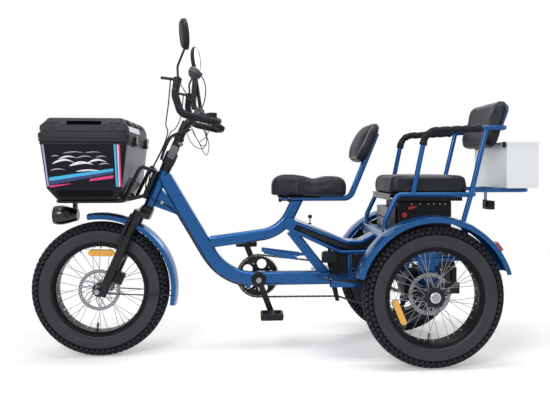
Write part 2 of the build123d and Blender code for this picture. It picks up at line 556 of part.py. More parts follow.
def build_fork():
    """Steerer, crown, stanchions, lower legs with their arch, and dropouts."""
    with BuildPart() as fork:
        with BuildSketch(STEER.offset(CROWN_LOW)) as crown:
            with BuildLine():
                Polyline((-26, -34), (-26, 34), (6, LEG_Y + 16), (14, LEG_Y + 20), (32, LEG_Y + 20),
                         (42, LEG_Y + 9), (42, LEG_Y - 30), (30, 0), (42, -LEG_Y + 30), (42, -LEG_Y - 9),
                         (32, -LEG_Y - 20), (14, -LEG_Y - 20), (6, -LEG_Y - 16), close=True)
            make_face()
        extrude(crown.sketch, amount=SHOULDER_TOP - CROWN_LOW)
        with BuildSketch(STEER.offset(SHOULDER_TOP - 6)) as boss:
            RectangleRounded(52, 68, 12)
        extrude(boss.sketch, amount=CROWN_HIGH - SHOULDER_TOP + 6)
        with BuildSketch(STEER.offset(CROWN_HIGH)) as race:
            Circle(HEAD_TUBE_RADIUS)
        extrude(race.sketch, amount=FORK_LENGTH - SEAT_GAP - CROWN_HIGH)
        with BuildSketch(STEER.offset(CROWN_HIGH)) as steerer:
            Circle(STEERER_RADIUS)
        extrude(steerer.sketch, amount=HEAD_TOP + 20 - CROWN_HIGH)
        with BuildSketch(STEER.offset(LEG_TOP)) as stanchions:
            with Locations((STANCHION_FORWARD, LEG_Y), (STANCHION_FORWARD, -LEG_Y)):
                Circle(STANCHION_RADIUS)
        extrude(stanchions.sketch, amount=CROWN_LOW - LEG_TOP)
        with BuildSketch(STEER.offset(-12)) as lowers:
            with Locations((STANCHION_FORWARD, LEG_Y), (STANCHION_FORWARD, -LEG_Y)):
                Circle(LEG_RADIUS)
        extrude(lowers.sketch, amount=LEG_TOP + 12)
        arch_plane = Plane(origin=STEER_FOOT + AXIS_FWD * (STANCHION_FORWARD + 16), x_dir=(0, 1, 0),
                           z_dir=AXIS_FWD)
        with BuildSketch(arch_plane) as arch:
            with BuildLine():
                Polyline((-LEG_Y - 14, 225), (-LEG_Y - 14, 318), (-LEG_Y + 16, 360), (LEG_Y - 16, 360),
                         (LEG_Y + 14, 318), (LEG_Y + 14, 225), (LEG_Y - 12, 225), (LEG_Y - 12, 330),
                         (LEG_Y - 24, ARCH_LOW), (-LEG_Y + 24, ARCH_LOW), (-LEG_Y + 12, 330), (-LEG_Y + 12, 225),
                         close=True)
            make_face()
        extrude(arch.sketch, amount=15)
        for side in (1, -1):
            add_rod(steer_point(0, FORK_OFFSET, side * (LEG_Y - LEG_RADIUS + 1)),
                    steer_point(0, FORK_OFFSET, side * (LEG_Y + LEG_RADIUS)), 17)
        add_rod((FRONT_AXLE_X, -LEG_Y - LEG_RADIUS - 1, AXLE_Z), (FRONT_AXLE_X, LEG_Y + LEG_RADIUS + 1, AXLE_Z),
                AXLE_RADIUS + FIT, mode=Mode.SUBTRACT)
    save(fork, "fork")
    with BuildPart() as front_axle:
        face = LEG_Y + LEG_RADIUS + SEAT_GAP
        add_rod((FRONT_AXLE_X, -face - 2, AXLE_Z), (FRONT_AXLE_X, face + 2, AXLE_Z), AXLE_RADIUS)
        for side in (1, -1):
            add_rod((FRONT_AXLE_X, side * face, AXLE_Z), (FRONT_AXLE_X, side * (face + 6), AXLE_Z), 11)
    save(front_axle, "front_axle")


# ---- Cockpit --------------------------------------------------------------------------------------
STEM_TOP = HEAD_TOP + 240
BAR_RADIUS = 11
GRIP_RADIUS = 16
CLAMP_POINT = Vector(FRONT_AXLE_X - 432, 0, 1075)
REAR_CORNER = (FRONT_AXLE_X - 556, 262, 1000)
FRONT_CORNER = (FRONT_AXLE_X - 378, 298, 1042)
UPPER_BEND = (FRONT_AXLE_X - 353, 285, 1120)
BAR_END = (FRONT_AXLE_X - 364, 268, 1190)


def build_stem():
    """Headset cap, riser, hinged clamp and the bar clamp on its short reach."""
    with BuildPart() as stem:
        with BuildSketch(STEER.offset(HEAD_TOP + SEAT_GAP)) as foot:
            Circle(24)
        extrude(foot.sketch, amount=36)
        with BuildSketch(STEER.offset(HEAD_TOP + 34)) as clamp:
            RectangleRounded(52, 50, 12)
        extrude(clamp.sketch, amount=52)
        with BuildSketch(STEER.offset(HEAD_TOP + 80)) as riser:
            Circle(19)
        extrude(riser.sketch, amount=STEM_TOP - HEAD_TOP - 80)
        top = steer_point(STEM_TOP - 22)
        add_rod(top, CLAMP_POINT, 18)
        with BuildSketch(Plane(origin=CLAMP_POINT - Vector(0, 24, 0), z_dir=(0, 1, 0))) as barrel:
            Circle(20)
        extrude(barrel.sketch, amount=48)
        with BuildSketch(STEER.offset(HEAD_TOP - 1)) as bore:
            Circle(STEERER_RADIUS + FIT)
        extrude(bore.sketch, amount=24, mode=Mode.SUBTRACT)
        add_rod(CLAMP_POINT - Vector(0, 25, 0), CLAMP_POINT + Vector(0, 25, 0), BAR_RADIUS + FIT,
                mode=Mode.SUBTRACT)
    save(stem, "stem")


def bar_route(side):
    """Corner points of one half of the butterfly bar, from the clamp outwards."""
    inner = (CLAMP_POINT.X, side * 30, CLAMP_POINT.Z)
    return [inner, (CLAMP_POINT.X - 12, side * 120, CLAMP_POINT.Z - 18), flipped(REAR_CORNER, side),
            flipped(FRONT_CORNER, side), flipped(UPPER_BEND, side), flipped(BAR_END, side)]


def build_handlebar():
    """Butterfly bar: out from the clamp, round a rear corner, forward and up."""
    with BuildPart() as handlebar:
        add_rod(CLAMP_POINT - Vector(0, 31, 0), CLAMP_POINT + Vector(0, 31, 0), BAR_RADIUS)
        for side in (1, -1):
            add_tube(bar_route(side), [60, 45, 38, 60], BAR_RADIUS)
    save(handlebar, "handlebar")


def build_bar_grips():
    """Foam sleeves along the outer runs of the bar."""
    with BuildPart() as bar_grips:
        for side in (1, -1):
            points = bar_route(side)
            start = Vector(*points[2]) + (Vector(*points[3]) - Vector(*points[2])) * 0.36
            finish = Vector(*points[4]) + (Vector(*points[5]) - Vector(*points[4])) * 0.55
            add_tube([start, points[3], points[4], finish], [38, 60], GRIP_RADIUS)
            add_tube(points, [60, 45, 38, 60], BAR_RADIUS + SEAT_GAP, mode=Mode.SUBTRACT)
    save(bar_grips, "bar_grips")


def build_brake_levers():
    """Lever and clamp at each bar end."""
    with BuildPart() as brake_levers:
        for side in (1, -1):
            end = Vector(*flipped(BAR_END, side))
            before = Vector(*flipped(UPPER_BEND, side))
            up = (end - before).normalized()
            add_rod(end - up * 22, end - up * 4, 17)
            perch = end - up * 13
            add_rod(perch + Vector(12, 0, 4), perch + Vector(66, side * -14, 12), 6)
            add_rod(end - up * 60, end + up * 2, BAR_RADIUS + SEAT_GAP, mode=Mode.SUBTRACT)
    save(brake_levers, "brake_levers")


def build_bar_controls():
    """Round display on its bracket, and the two control pods near the rear corners."""
    with BuildPart() as bar_controls:
        face = Vector(FRONT_AXLE_X - 418, 0, 1258)
        tilt = Vector(-0.55, 0, 0.83)
        add_rod(face - tilt * 22, face, 30)
        add_rod(CLAMP_POINT + Vector(-2, 0, 21), face - tilt * 12, 8)
        for side in (1, -1):
            inner = Vector(*bar_route(side)[1])
            along = (Vector(*bar_route(side)[2]) - inner).normalized()
            pod = inner + along * 84
            add_rod(pod - along * 13, pod + along * 13, 17)
            with BuildSketch(Plane(origin=pod + Vector(0, 0, 4), x_dir=along, z_dir=(0, 0, 1))) as housing:
                RectangleRounded(40, 32, 7)
            extrude(housing.sketch, amount=20)
            add_rod(pod - along * 40, pod + along * 40, BAR_RADIUS + SEAT_GAP, mode=Mode.SUBTRACT)
        add_rod(CLAMP_POINT - Vector(0, 30, 0), CLAMP_POINT + Vector(0, 30, 0), 20 + SEAT_GAP,
                mode=Mode.SUBTRACT)
    save(bar_controls, "bar_controls")


def build_mirrors():
    """Oval mirror on a curved stalk at each bar end."""
    with BuildPart() as mirrors:
        for side in (1, -1):
            end = Vector(*flipped(BAR_END, side))
            centre = end + Vector(-24, side * 26, 168)
            facing = Vector(-1, side * -0.35, 0.1).normalized()
            neck = centre + facing * 7 - Vector(0, 0, 54)
            add_tube([end + Vector(0, 0, 1.7), end + Vector(2, 0, 44), neck], 30, 4.5)
            with BuildSketch(Plane(origin=centre, x_dir=Vector(0.3, side * -1, 0), z_dir=facing)) as shell:
                Ellipse(40, 62)
            extrude(shell.sketch, amount=12)
            flat = Plane(origin=centre - facing * 9, x_dir=Vector(0.3, side * -1, 0), z_dir=facing)
            with BuildSketch(flat) as cover:
                Ellipse(30, 52)
            loft([cover.sketch, shell.sketch])
    save(mirrors, "mirrors")


# ---- Front rack, cargo box and headlight --------------------------------------------------------
BOX_REAR = FRONT_AXLE_X - 167
BOX_LENGTH = 352
BOX_WIDTH = 548
BOX_FLOOR = 698
BOX_RIM = 930
LID_TOP = 1027
BOX_WALL = 4
END_TAPER = 26
SIDE_TAPER = 14
CHAMFER_HEIGHT = 46
CHAMFER_INSET = 31
LID_GAP = 0.6
LIP_TOP = BOX_RIM + 38
LIP_INSET = 12
HINGE_X = BOX_REAR + BOX_LENGTH + 5
HINGE_RADIUS = 5
HINGE_PIN = 2.2
HINGE_Y = 150
KNUCKLE = 16
SLOT_HALF = 68
LATCH_Y = 140
BOX_MID = BOX_REAR + BOX_LENGTH / 2
RACK_TUBE = 8


def box_section(height, length, width):
    """Rounded rectangular section of the cargo box at a height."""
    with BuildSketch(Plane((BOX_MID, 0, height))) as section:
        RectangleRounded(length, width, 16)
    return section.sketch


def build_cargo_box():
    """Open-topped tapered box with a chamfered foot and its hinge knuckles."""
    body_length = BOX_LENGTH - 2 * END_TAPER
    body_width = BOX_WIDTH - 2 * SIDE_TAPER
    foot_length = body_length - 2 * CHAMFER_INSET
    foot_width = body_width - 2 * CHAMFER_INSET
    step = BOX_FLOOR + CHAMFER_HEIGHT
    with BuildPart() as cargo_box:
        loft([box_section(BOX_FLOOR, foot_length, foot_width), box_section(step, body_length, body_width)],
             ruled=True)
        loft([box_section(step, body_length, body_width), box_section(BOX_RIM, BOX_LENGTH - 8, BOX_WIDTH - 8)],
             ruled=True)
        wall = 2 * BOX_WALL
        loft([box_section(BOX_FLOOR + BOX_WALL, foot_length - wall, foot_width - wall),
              box_section(step, body_length - wall, body_width - wall)], ruled=True, mode=Mode.SUBTRACT)
        loft([box_section(step, body_length - wall, body_width - wall),
              box_section(BOX_RIM, BOX_LENGTH - 8 - wall, BOX_WIDTH - 8 - wall)],
             ruled=True, mode=Mode.SUBTRACT)
        for side in (1, -1):
            middle = side * HINGE_Y
            for low in (middle - 1.5 * KNUCKLE, middle + 0.5 * KNUCKLE + OPEN_GAP):
                span = (low, low + KNUCKLE - OPEN_GAP)
                add_block((HINGE_X - 12, HINGE_X), span, (BOX_RIM - 14, BOX_RIM - 1))
                add_rod((HINGE_X, span[0], BOX_RIM), (HINGE_X, span[1], BOX_RIM), HINGE_RADIUS)
            add_rod((HINGE_X, middle - KNUCKLE, BOX_RIM), (HINGE_X, middle + KNUCKLE, BOX_RIM), HINGE_PIN)
    save(cargo_box, "cargo_box")


def build_cargo_lid():
    """Stepped lid with a lip, hand slots and latches, hollow underneath, hinged along its front edge."""
    base = BOX_RIM + LID_GAP
    shoulder = BOX_RIM + 70
    steps = [(base, 0), (LIP_TOP, 2), (LIP_TOP, LIP_INSET), (shoulder, LIP_INSET + 6), (LID_TOP, 64)]
    with BuildPart() as cargo_lid:
        for (low, first), (high, last) in zip(steps, steps[1:]):
            if high > low:
                loft([box_section(low, BOX_LENGTH - first, BOX_WIDTH - first),
                      box_section(high, BOX_LENGTH - last, BOX_WIDTH - last)], ruled=True)
        wall = 2 * BOX_WALL + LIP_INSET
        loft([box_section(base, BOX_LENGTH - wall, BOX_WIDTH - wall),
              box_section(shoulder, BOX_LENGTH - 6 - wall, BOX_WIDTH - 6 - wall)],
             ruled=True, mode=Mode.SUBTRACT)
        loft([box_section(shoulder, BOX_LENGTH - 6 - wall, BOX_WIDTH - 6 - wall),
              box_section(LID_TOP - BOX_WALL, BOX_LENGTH - 64 - wall, BOX_WIDTH - 64 - wall)],
             ruled=True, mode=Mode.SUBTRACT)
        slot_x = (BOX_MID - SLOT_HALF, BOX_MID + SLOT_HALF)
        for side in (1, -1):
            edge = side * BOX_WIDTH / 2
            add_block((slot_x[0] - BOX_WALL, slot_x[1] + BOX_WALL), (edge - side * 50, edge - side * 27),
                      (shoulder - 6, shoulder + 18))
            add_block(slot_x, (edge - side * 46, edge), (shoulder - 2, shoulder + 14), mode=Mode.SUBTRACT)
            add_block((HINGE_X - 9, HINGE_X), (side * HINGE_Y - KNUCKLE / 2, side * HINGE_Y + KNUCKLE / 2),
                      (BOX_RIM + 1, BOX_RIM + 14))
            add_rod((HINGE_X, side * HINGE_Y - KNUCKLE / 2, BOX_RIM), (HINGE_X, side * HINGE_Y + KNUCKLE / 2, BOX_RIM),
                    HINGE_RADIUS)
            add_rod((HINGE_X, side * HINGE_Y - KNUCKLE, BOX_RIM), (HINGE_X, side * HINGE_Y + KNUCKLE, BOX_RIM),
                    HINGE_PIN + FIT, mode=Mode.SUBTRACT)
            add_side_plate([(BOX_REAR + 3, BOX_RIM - 16), (BOX_REAR - 5, BOX_RIM - 16), (BOX_REAR - 10, BOX_RIM - 6),
                            (BOX_REAR - 10, BOX_RIM + 22), (BOX_REAR + 1, BOX_RIM + 36), (BOX_REAR + 3, BOX_RIM + 36)],
                           (side * LATCH_Y - 13, side * LATCH_Y + 13))
    save(cargo_lid, "cargo_lid")


RACK_DECK_Z = BOX_FLOOR - SEAT_GAP
RACK_HALF = 200
RACK_FRONT = BOX_REAR + 300
RACK_REAR = BOX_REAR + 41
STRUT_Y = 150


def build_front_rack():
    """Tube rack under the box, with struts back to a plate on the head tube."""
    rail_z = RACK_DECK_Z - RACK_TUBE
    with BuildPart() as front_rack:
        add_tube([(RACK_REAR, 60, rail_z), (RACK_REAR, RACK_HALF, rail_z), (RACK_FRONT, RACK_HALF, rail_z),
                  (RACK_FRONT, -RACK_HALF, rail_z), (RACK_REAR, -RACK_HALF, rail_z),
                  (RACK_REAR, -60, rail_z)], 24, RACK_TUBE)
        add_rod((RACK_REAR, -62, rail_z), (RACK_REAR, 62, rail_z), RACK_TUBE)
        for y in (-70, 0, 70):
            add_rod((RACK_REAR, y, rail_z), (RACK_FRONT, y, rail_z), RACK_TUBE * 0.75)
        top = steer_point(FORK_LENGTH + 153, 82)
        inner = steer_point(FORK_LENGTH + 148, HEAD_TUBE_RADIUS + 14)
        left = [(RACK_REAR, STRUT_Y, rail_z), (top.X, STRUT_Y, top.Z), (inner.X, 40, inner.Z)]
        add_tube(left + [flipped(point, -1) for point in reversed(left)], 24, RACK_TUBE)
        with BuildSketch(STEER.offset(FORK_LENGTH + 22)) as plate:
            with Locations((HEAD_TUBE_RADIUS + 8, 0)):
                Rectangle(20, 76)
        extrude(plate.sketch, amount=130)
        low = steer_point(FORK_LENGTH + 30, HEAD_TUBE_RADIUS + 14)
        for side in (1, -1):
            add_rod((low.X, side * 30, low.Z), (RACK_REAR, side * 60, rail_z), RACK_TUBE)
        with BuildSketch(STEER.offset(FORK_LENGTH - 10)) as seat:
            Circle(HEAD_TUBE_RADIUS + SEAT_GAP)
        extrude(seat.sketch, amount=HEAD_TUBE_LENGTH + 20, mode=Mode.SUBTRACT)
    save(front_rack, "front_rack")


LAMP_X = FRONT_AXLE_X + 100
LAMP_Z = 620
LENS_RADIUS = 33


def build_headlight():
    """Drop-shaped lamp hung under the front rail of the rack."""
    rail_z = RACK_DECK_Z - RACK_TUBE
    with BuildPart() as headlight:
        with BuildSketch(Plane(origin=(LAMP_X, 0, LAMP_Z), x_dir=(0, 1, 0), z_dir=(1, 0, 0))) as back:
            Circle(24)
        with BuildSketch(Plane(origin=(LAMP_X + 75, 0, LAMP_Z), x_dir=(0, 1, 0), z_dir=(1, 0, 0))) as front:
            Circle(38)
        loft([back.sketch, front.sketch])
        add_rod((LAMP_X + 74, 0, LAMP_Z), (LAMP_X + 98, 0, LAMP_Z), 38)
        add_rod((LAMP_X + 92, 0, LAMP_Z), (LAMP_X + 99, 0, LAMP_Z), LENS_RADIUS + SEAT_GAP, mode=Mode.SUBTRACT)
        add_block((LAMP_X + 2, LAMP_X + 20), (-11, 11), (LAMP_Z + 20, rail_z - RACK_TUBE * 0.75 - SEAT_GAP))
    save(headlight, "headlight")
    with BuildPart() as headlight_lens:
        add_rod((LAMP_X + 92, 0, LAMP_Z), (LAMP_X + 96, 0, LAMP_Z), LENS_RADIUS)
    save(headlight_lens, "headlight_lens")


# ---- Saddle, rail and backrest --------------------------------------------------------------------
SADDLE_FRONT = REAR_AXLE_X + 656
SADDLE_REAR = REAR_AXLE_X + 328
SADDLE_TOP = SADDLE_BASE + SADDLE_HEIGHT
POST_FOOT_X = REAR_AXLE_X + 298
POST_TOP = (REAR_AXLE_X + 176, 0, RAIL_TOP + 281.3)


def build_saddle():
    """Two-level saddle: narrow nose, wide rear pad."""
    with BuildPart() as saddle:
        with BuildSketch(Plane.XY.offset(SADDLE_BASE)) as nose:
            with Locations((SADDLE_FRONT - 110, 0)):
                RectangleRounded(220, 150, 60)
        extrude(nose.sketch, amount=SADDLE_TOP - SADDLE_BASE)
        with BuildSketch(Plane.XY.offset(SADDLE_BASE)) as pad:
            with Locations((SADDLE_REAR + 105, 0)):
                RectangleRounded(210, 250, 80)
        extrude(pad.sketch, amount=SADDLE_TOP - SADDLE_BASE - 4)
    save(saddle, "saddle")


def build_saddle_rail():
    """Bar bolted on the seat tube, bent up at its rear end to carry the backrest."""
    rail_z = RAIL_TOP - RAIL_SIZE / 2
    with BuildPart() as saddle_rail:
        add_bar([(REAR_AXLE_X + 612, 0, rail_z), (POST_FOOT_X, 0, rail_z), POST_TOP], 40, 30, RAIL_SIZE, 7)
    save(saddle_rail, "saddle_rail")


def build_rider_backrest():
    """Padded rest on the front of the post."""
    lean = Vector(POST_TOP[0] - POST_FOOT_X, 0, POST_TOP[2] - RAIL_TOP).normalized()
    normal = Vector(lean.Z, 0, -lean.X)
    centre = Vector(POST_TOP[0], 0, POST_TOP[2]) - lean * 62 + normal * (RAIL_SIZE / 2 + SEAT_GAP)
    with BuildPart() as rider_backrest:
        with BuildSketch(Plane(origin=centre, x_dir=(0, 1, 0), z_dir=normal)) as pad:
            RectangleRounded(290, 190, 60)
        extrude(pad.sketch, amount=52)
        fillet(rider_backrest.edges().group_by(Axis(centre, normal))[-1], 20)
    save(rider_backrest, "rider_backrest")


# ---- Passenger seat ----------------------------------------------------------------------------------
SEAT_Y = 205
FRAME_TUBE = 11
SEAT_RAIL_Z = 712
SEAT_REAR = REAR_AXLE_X - 215
ARM_TOP_FRONT = SEAT_RAIL_Z + 272
ARM_TOP_REAR = SEAT_RAIL_Z + 291
HOOP_TOP = ARM_TOP_REAR + 105
ARM_REAR = REAR_AXLE_X - 356
ARM_FOOT_X = REAR_AXLE_X + 60
SLEEVE_RADIUS = 17
CUSHION_HALF = 190
CUSHION_X = (REAR_AXLE_X - 192, REAR_AXLE_X + 160)
CUSHION_THICK = 72
SEAT_BASE_TOP = SEAT_RAIL_Z + 3


def arm_route():
    """Corner points of the arm tube, from the left foot round behind the backrest to the right."""
    corner_x = REAR_AXLE_X + 4
    left = [(ARM_FOOT_X, SEAT_Y, SEAT_RAIL_Z), (corner_x, SEAT_Y, ARM_TOP_FRONT), (ARM_REAR, SEAT_Y, ARM_TOP_REAR)]
    right = [(ARM_REAR, -SEAT_Y, ARM_TOP_REAR), (corner_x, -SEAT_Y, ARM_TOP_FRONT), (ARM_FOOT_X, -SEAT_Y, SEAT_RAIL_Z)]
    return left + right


def build_passenger_seat_frame():
    """Bent tube seat frame: rail loop on four legs, arm loop, rear posts and backrest hoop."""
    leg_top_x = REAR_AXLE_X + 128
    with BuildPart() as passenger_seat_frame:
        add_tube([(CROSS_FRONT_X, SEAT_Y, CROSS_TOP), (CROSS_FRONT_X, SEAT_Y, CROSS_TOP + 42),
                  (leg_top_x, SEAT_Y, SEAT_RAIL_Z), (SEAT_REAR, SEAT_Y, SEAT_RAIL_Z),
                  (SEAT_REAR, -SEAT_Y, SEAT_RAIL_Z), (leg_top_x, -SEAT_Y, SEAT_RAIL_Z),
                  (CROSS_FRONT_X, -SEAT_Y, CROSS_TOP + 42), (CROSS_FRONT_X, -SEAT_Y, CROSS_TOP)],
                 [40, 30, 30, 30, 30, 40], FRAME_TUBE)
        add_tube(arm_route(), [60, 45, 45, 60], FRAME_TUBE)
        for side in (1, -1):
            y = side * SEAT_Y
            add_tube([(CROSS_REAR_X, y, CROSS_TOP), (CROSS_REAR_X, y, CROSS_TOP + 40),
                      (REAR_AXLE_X - 195, y, SEAT_RAIL_Z)], 60, FRAME_TUBE)
            add_rod((REAR_AXLE_X - 195, y, SEAT_RAIL_Z), (REAR_AXLE_X - 262, y, ARM_TOP_REAR - 5), FRAME_TUBE)
        hoop_x = ARM_REAR - 2
        add_tube([(hoop_x, 110, ARM_TOP_REAR - 6), (hoop_x - 42, 110, HOOP_TOP), (hoop_x - 42, -110, HOOP_TOP),
                  (hoop_x, -110, ARM_TOP_REAR - 6)], 40, FRAME_TUBE - 2)
    save(passenger_seat_frame, "passenger_seat_frame")


def build_arm_sleeves():
    """Foam sleeve over the front bend and top of each arm."""
    with BuildPart() as arm_sleeves:
        for side in (1, -1):
            y = side * SEAT_Y
            corner_x = REAR_AXLE_X + 4
            slope = (ARM_TOP_REAR - ARM_TOP_FRONT) / (corner_x - ARM_REAR)
            start = (corner_x + 12.5, y, ARM_TOP_FRONT - 61)
            end_x = REAR_AXLE_X - 240
            add_tube([start, (corner_x, y, ARM_TOP_FRONT), (end_x, y, ARM_TOP_FRONT + slope * (corner_x - end_x))],
                     60, SLEEVE_RADIUS)
        add_tube(arm_route(), [60, 45, 45, 60], FRAME_TUBE + SEAT_GAP, mode=Mode.SUBTRACT)
    save(arm_sleeves, "arm_sleeves")


def build_passenger_seat():
    """Base plate, cushion and backrest."""
    with BuildPart() as seat_base:
        edge = SEAT_Y - FRAME_TUBE - SEAT_GAP
        add_block((CUSHION_X[0] + 4, CUSHION_X[1] - 6), (-edge, edge),
                  (SEAT_BASE_TOP - 3, SEAT_BASE_TOP))
        for y in (-150, 150):
            add_block((CUSHION_X[0] + 20, CUSHION_X[1] - 40), (y - 12, y + 12),
                      (CROSS_TOP - 2 + BATTERY_HEIGHT + 3, SEAT_BASE_TOP - 3))
        add_block((CUSHION_X[1] - 9, CUSHION_X[1] - 6), (-CUSHION_HALF + 10, CUSHION_HALF - 10),
                  (SEAT_BASE_TOP - 28, SEAT_BASE_TOP - 3))
    save(seat_base, "seat_base")
    with BuildPart() as passenger_cushion:
        add_block(CUSHION_X, (-CUSHION_HALF, CUSHION_HALF),
                  (SEAT_BASE_TOP + SEAT_GAP, SEAT_BASE_TOP + CUSHION_THICK))
        fillet(passenger_cushion.edges().filter_by(Axis.Z), 40)
        fillet(passenger_cushion.edges().group_by(Axis.Z)[-1], 20)
    save(passenger_cushion, "passenger_cushion")
    lean = Vector(-0.30, 0, 1).normalized()
    normal = Vector(lean.Z, 0, -lean.X)
    back = Vector(ARM_REAR + FRAME_TUBE + SEAT_GAP, 0, ARM_TOP_REAR)
    centre = back + normal * 0.5 + lean * 12
    with BuildPart() as passenger_backrest:
        with BuildSketch(Plane(origin=centre, x_dir=(0, 1, 0), z_dir=normal)) as pad:
            RectangleRounded(2 * CUSHION_HALF - 6, 222, 46)
        extrude(pad.sketch, amount=54)
        fillet(passenger_backrest.edges().group_by(Axis(centre, normal))[-1], 20)
        add_tube(arm_route(), [60, 45, 45, 60], FRAME_TUBE + SEAT_GAP, mode=Mode.SUBTRACT)
    save(passenger_backrest, "passenger_backrest")


# ---- Rear rack, bin and lights -------------------------------------------------------------------------
RACK_Y = 120
BIN_REAR = REAR_AXLE_X - REAR_OVERHANG
BIN_LENGTH = 144
BIN_WIDTH = 386
BIN_HEIGHT = 202
BIN_WALL = 2
BIN_HOLE_X = 80
BIN_HOLE_Y = 300
BIN_HOLE_RADIUS = 3.25
REAR_RACK_Z = SEAT_RAIL_Z + 16


def build_rear_rack():
    """U-shaped tube rack behind the seat, with cross straps."""
    end = BIN_REAR + 14
    start = SEAT_REAR - FRAME_TUBE + 1.5
    with BuildPart() as rear_rack:
        add_tube([(start, RACK_Y, REAR_RACK_Z), (end, RACK_Y, REAR_RACK_Z), (end, -RACK_Y, REAR_RACK_Z),
                  (start, -RACK_Y, REAR_RACK_Z)], 35, 10)
        for x in (REAR_AXLE_X - 330, REAR_AXLE_X - 420):
            add_block((x - 14, x + 14), (-RACK_Y, RACK_Y), (REAR_RACK_Z - 4, REAR_RACK_Z))
        add_block((REAR_AXLE_X - 340, REAR_AXLE_X - 336), (-14, 14), (672, REAR_RACK_Z - 2))
    save(rear_rack, "rear_rack")


def build_rear_bin():
    """Open sheet-metal bin with a rolled rim."""
    low = REAR_RACK_Z + 10 + SEAT_GAP
    x_span = (BIN_REAR + 3, BIN_REAR + BIN_LENGTH)
    half = BIN_WIDTH / 2
    with BuildPart() as rear_bin:
        add_block(x_span, (-half, half), (low, low + BIN_HEIGHT))
        add_block((x_span[0] - 3, x_span[1] + 3), (-half - 3, half + 3), (low + BIN_HEIGHT - 10, low + BIN_HEIGHT))
        add_block((x_span[0] + BIN_WALL, x_span[1] - BIN_WALL), (-half + BIN_WALL, half - BIN_WALL),
                  (low + BIN_WALL, low + BIN_HEIGHT + 1), mode=Mode.SUBTRACT)
        with BuildSketch(Plane(((x_span[0] + x_span[1]) / 2, 0, low - 1))) as drilling:
            with GridLocations(BIN_HOLE_X, BIN_HOLE_Y, 2, 2):
                Circle(BIN_HOLE_RADIUS)
        extrude(drilling.sketch, amount=BIN_WALL + 2, mode=Mode.SUBTRACT)
    save(rear_bin, "rear_bin")


def build_rear_lights():
    """Tail lamp under the rack and a reflector on each rear fender."""
    crown = TYRE_RADIUS + FENDER_GAP_RADIUS + FENDER_WALL
    with BuildPart() as rear_lights:
        x = REAR_AXLE_X - 340 - SEAT_GAP
        add_block((x - 26, x), (-42, 42), (636, 676))
        fillet(rear_lights.edges().filter_by(Axis.X), 8)
        for side in (1, -1):
            start = 140
            turned = Plane(origin=(REAR_AXLE_X, side * WHEEL_Y, AXLE_Z), x_dir=(0, 1, 0),
                           z_dir=(sin(radians(start)), 0, -cos(radians(start))))
            with BuildSketch(turned) as lens:
                with Locations((0, crown + SEAT_GAP + 7)):
                    Rectangle(34, 14)
            revolve(lens.sketch, axis=Axis((REAR_AXLE_X, side * WHEEL_Y, AXLE_Z), (0, -1, 0)), revolution_arc=7)
    save(rear_lights, "rear_lights")


# ---- Drivetrain ---------------------------------------------------------------------------------------------
CHAIN_Y = -62
CHAIN_WIDTH = 5
CHAIN_HALF = 3.2
LINK_PITCH = 12.7
LINK_LENGTH = 20
LINK_HALF = 4
LINK_WIDTH = 8.4
RING_PITCH = 97
SPROCKET_PITCH = 46
SPROCKET_Y = CHAIN_Y
PULLEY_PITCH = 24
GUIDE_PULLEY = (REAR_AXLE_X + 22, 214)
TENSION_PULLEY = (REAR_AXLE_X + 52, 158)
IDLER = (REAR_AXLE_X + 346, 216)
IDLER_PITCH = 14
TOOTH_GAP = 1.2


def tangent_run(first, second):
    """Ends of the run between two wheels, each (x, z, radius, turn), turn +1 anticlockwise."""
    dx = second[0] - first[0]
    dz = second[1] - first[1]
    shift = second[3] * second[2] - first[3] * first[2]
    heading = atan2(dz, dx) - atan2(shift, sqrt(dx * dx + dz * dz - shift * shift))
    left = (-sin(heading), cos(heading))
    leave = (first[0] - first[3] * first[2] * left[0], first[1] - first[3] * first[2] * left[1])
    meet = (second[0] - second[3] * second[2] * left[0], second[1] - second[3] * second[2] * left[1])
    return leave, meet


def loop_face(wheels):
    """Closed face inside a belt line round the wheels."""
    runs = [tangent_run(wheels[i], wheels[(i + 1) % len(wheels)]) for i in range(len(wheels))]
    with BuildSketch(Plane(origin=(0, CHAIN_Y + CHAIN_WIDTH / 2, 0), x_dir=(1, 0, 0), z_dir=(0, -1, 0))) as belt:
        with BuildLine():
            for index, wheel in enumerate(wheels):
                meet = runs[index - 1][1]
                leave = runs[index][0]
                a0 = atan2(meet[1] - wheel[1], meet[0] - wheel[0])
                a1 = atan2(leave[1] - wheel[1], leave[0] - wheel[0])
                swing = (a1 - a0) * wheel[3] % (2 * pi)
                mid = a0 + wheel[3] * swing / 2
                ThreePointArc(meet, (wheel[0] + wheel[2] * cos(mid), wheel[1] + wheel[2] * sin(mid)), leave)
                Line(leave, runs[index][1])
        make_face()
    return belt.sketch


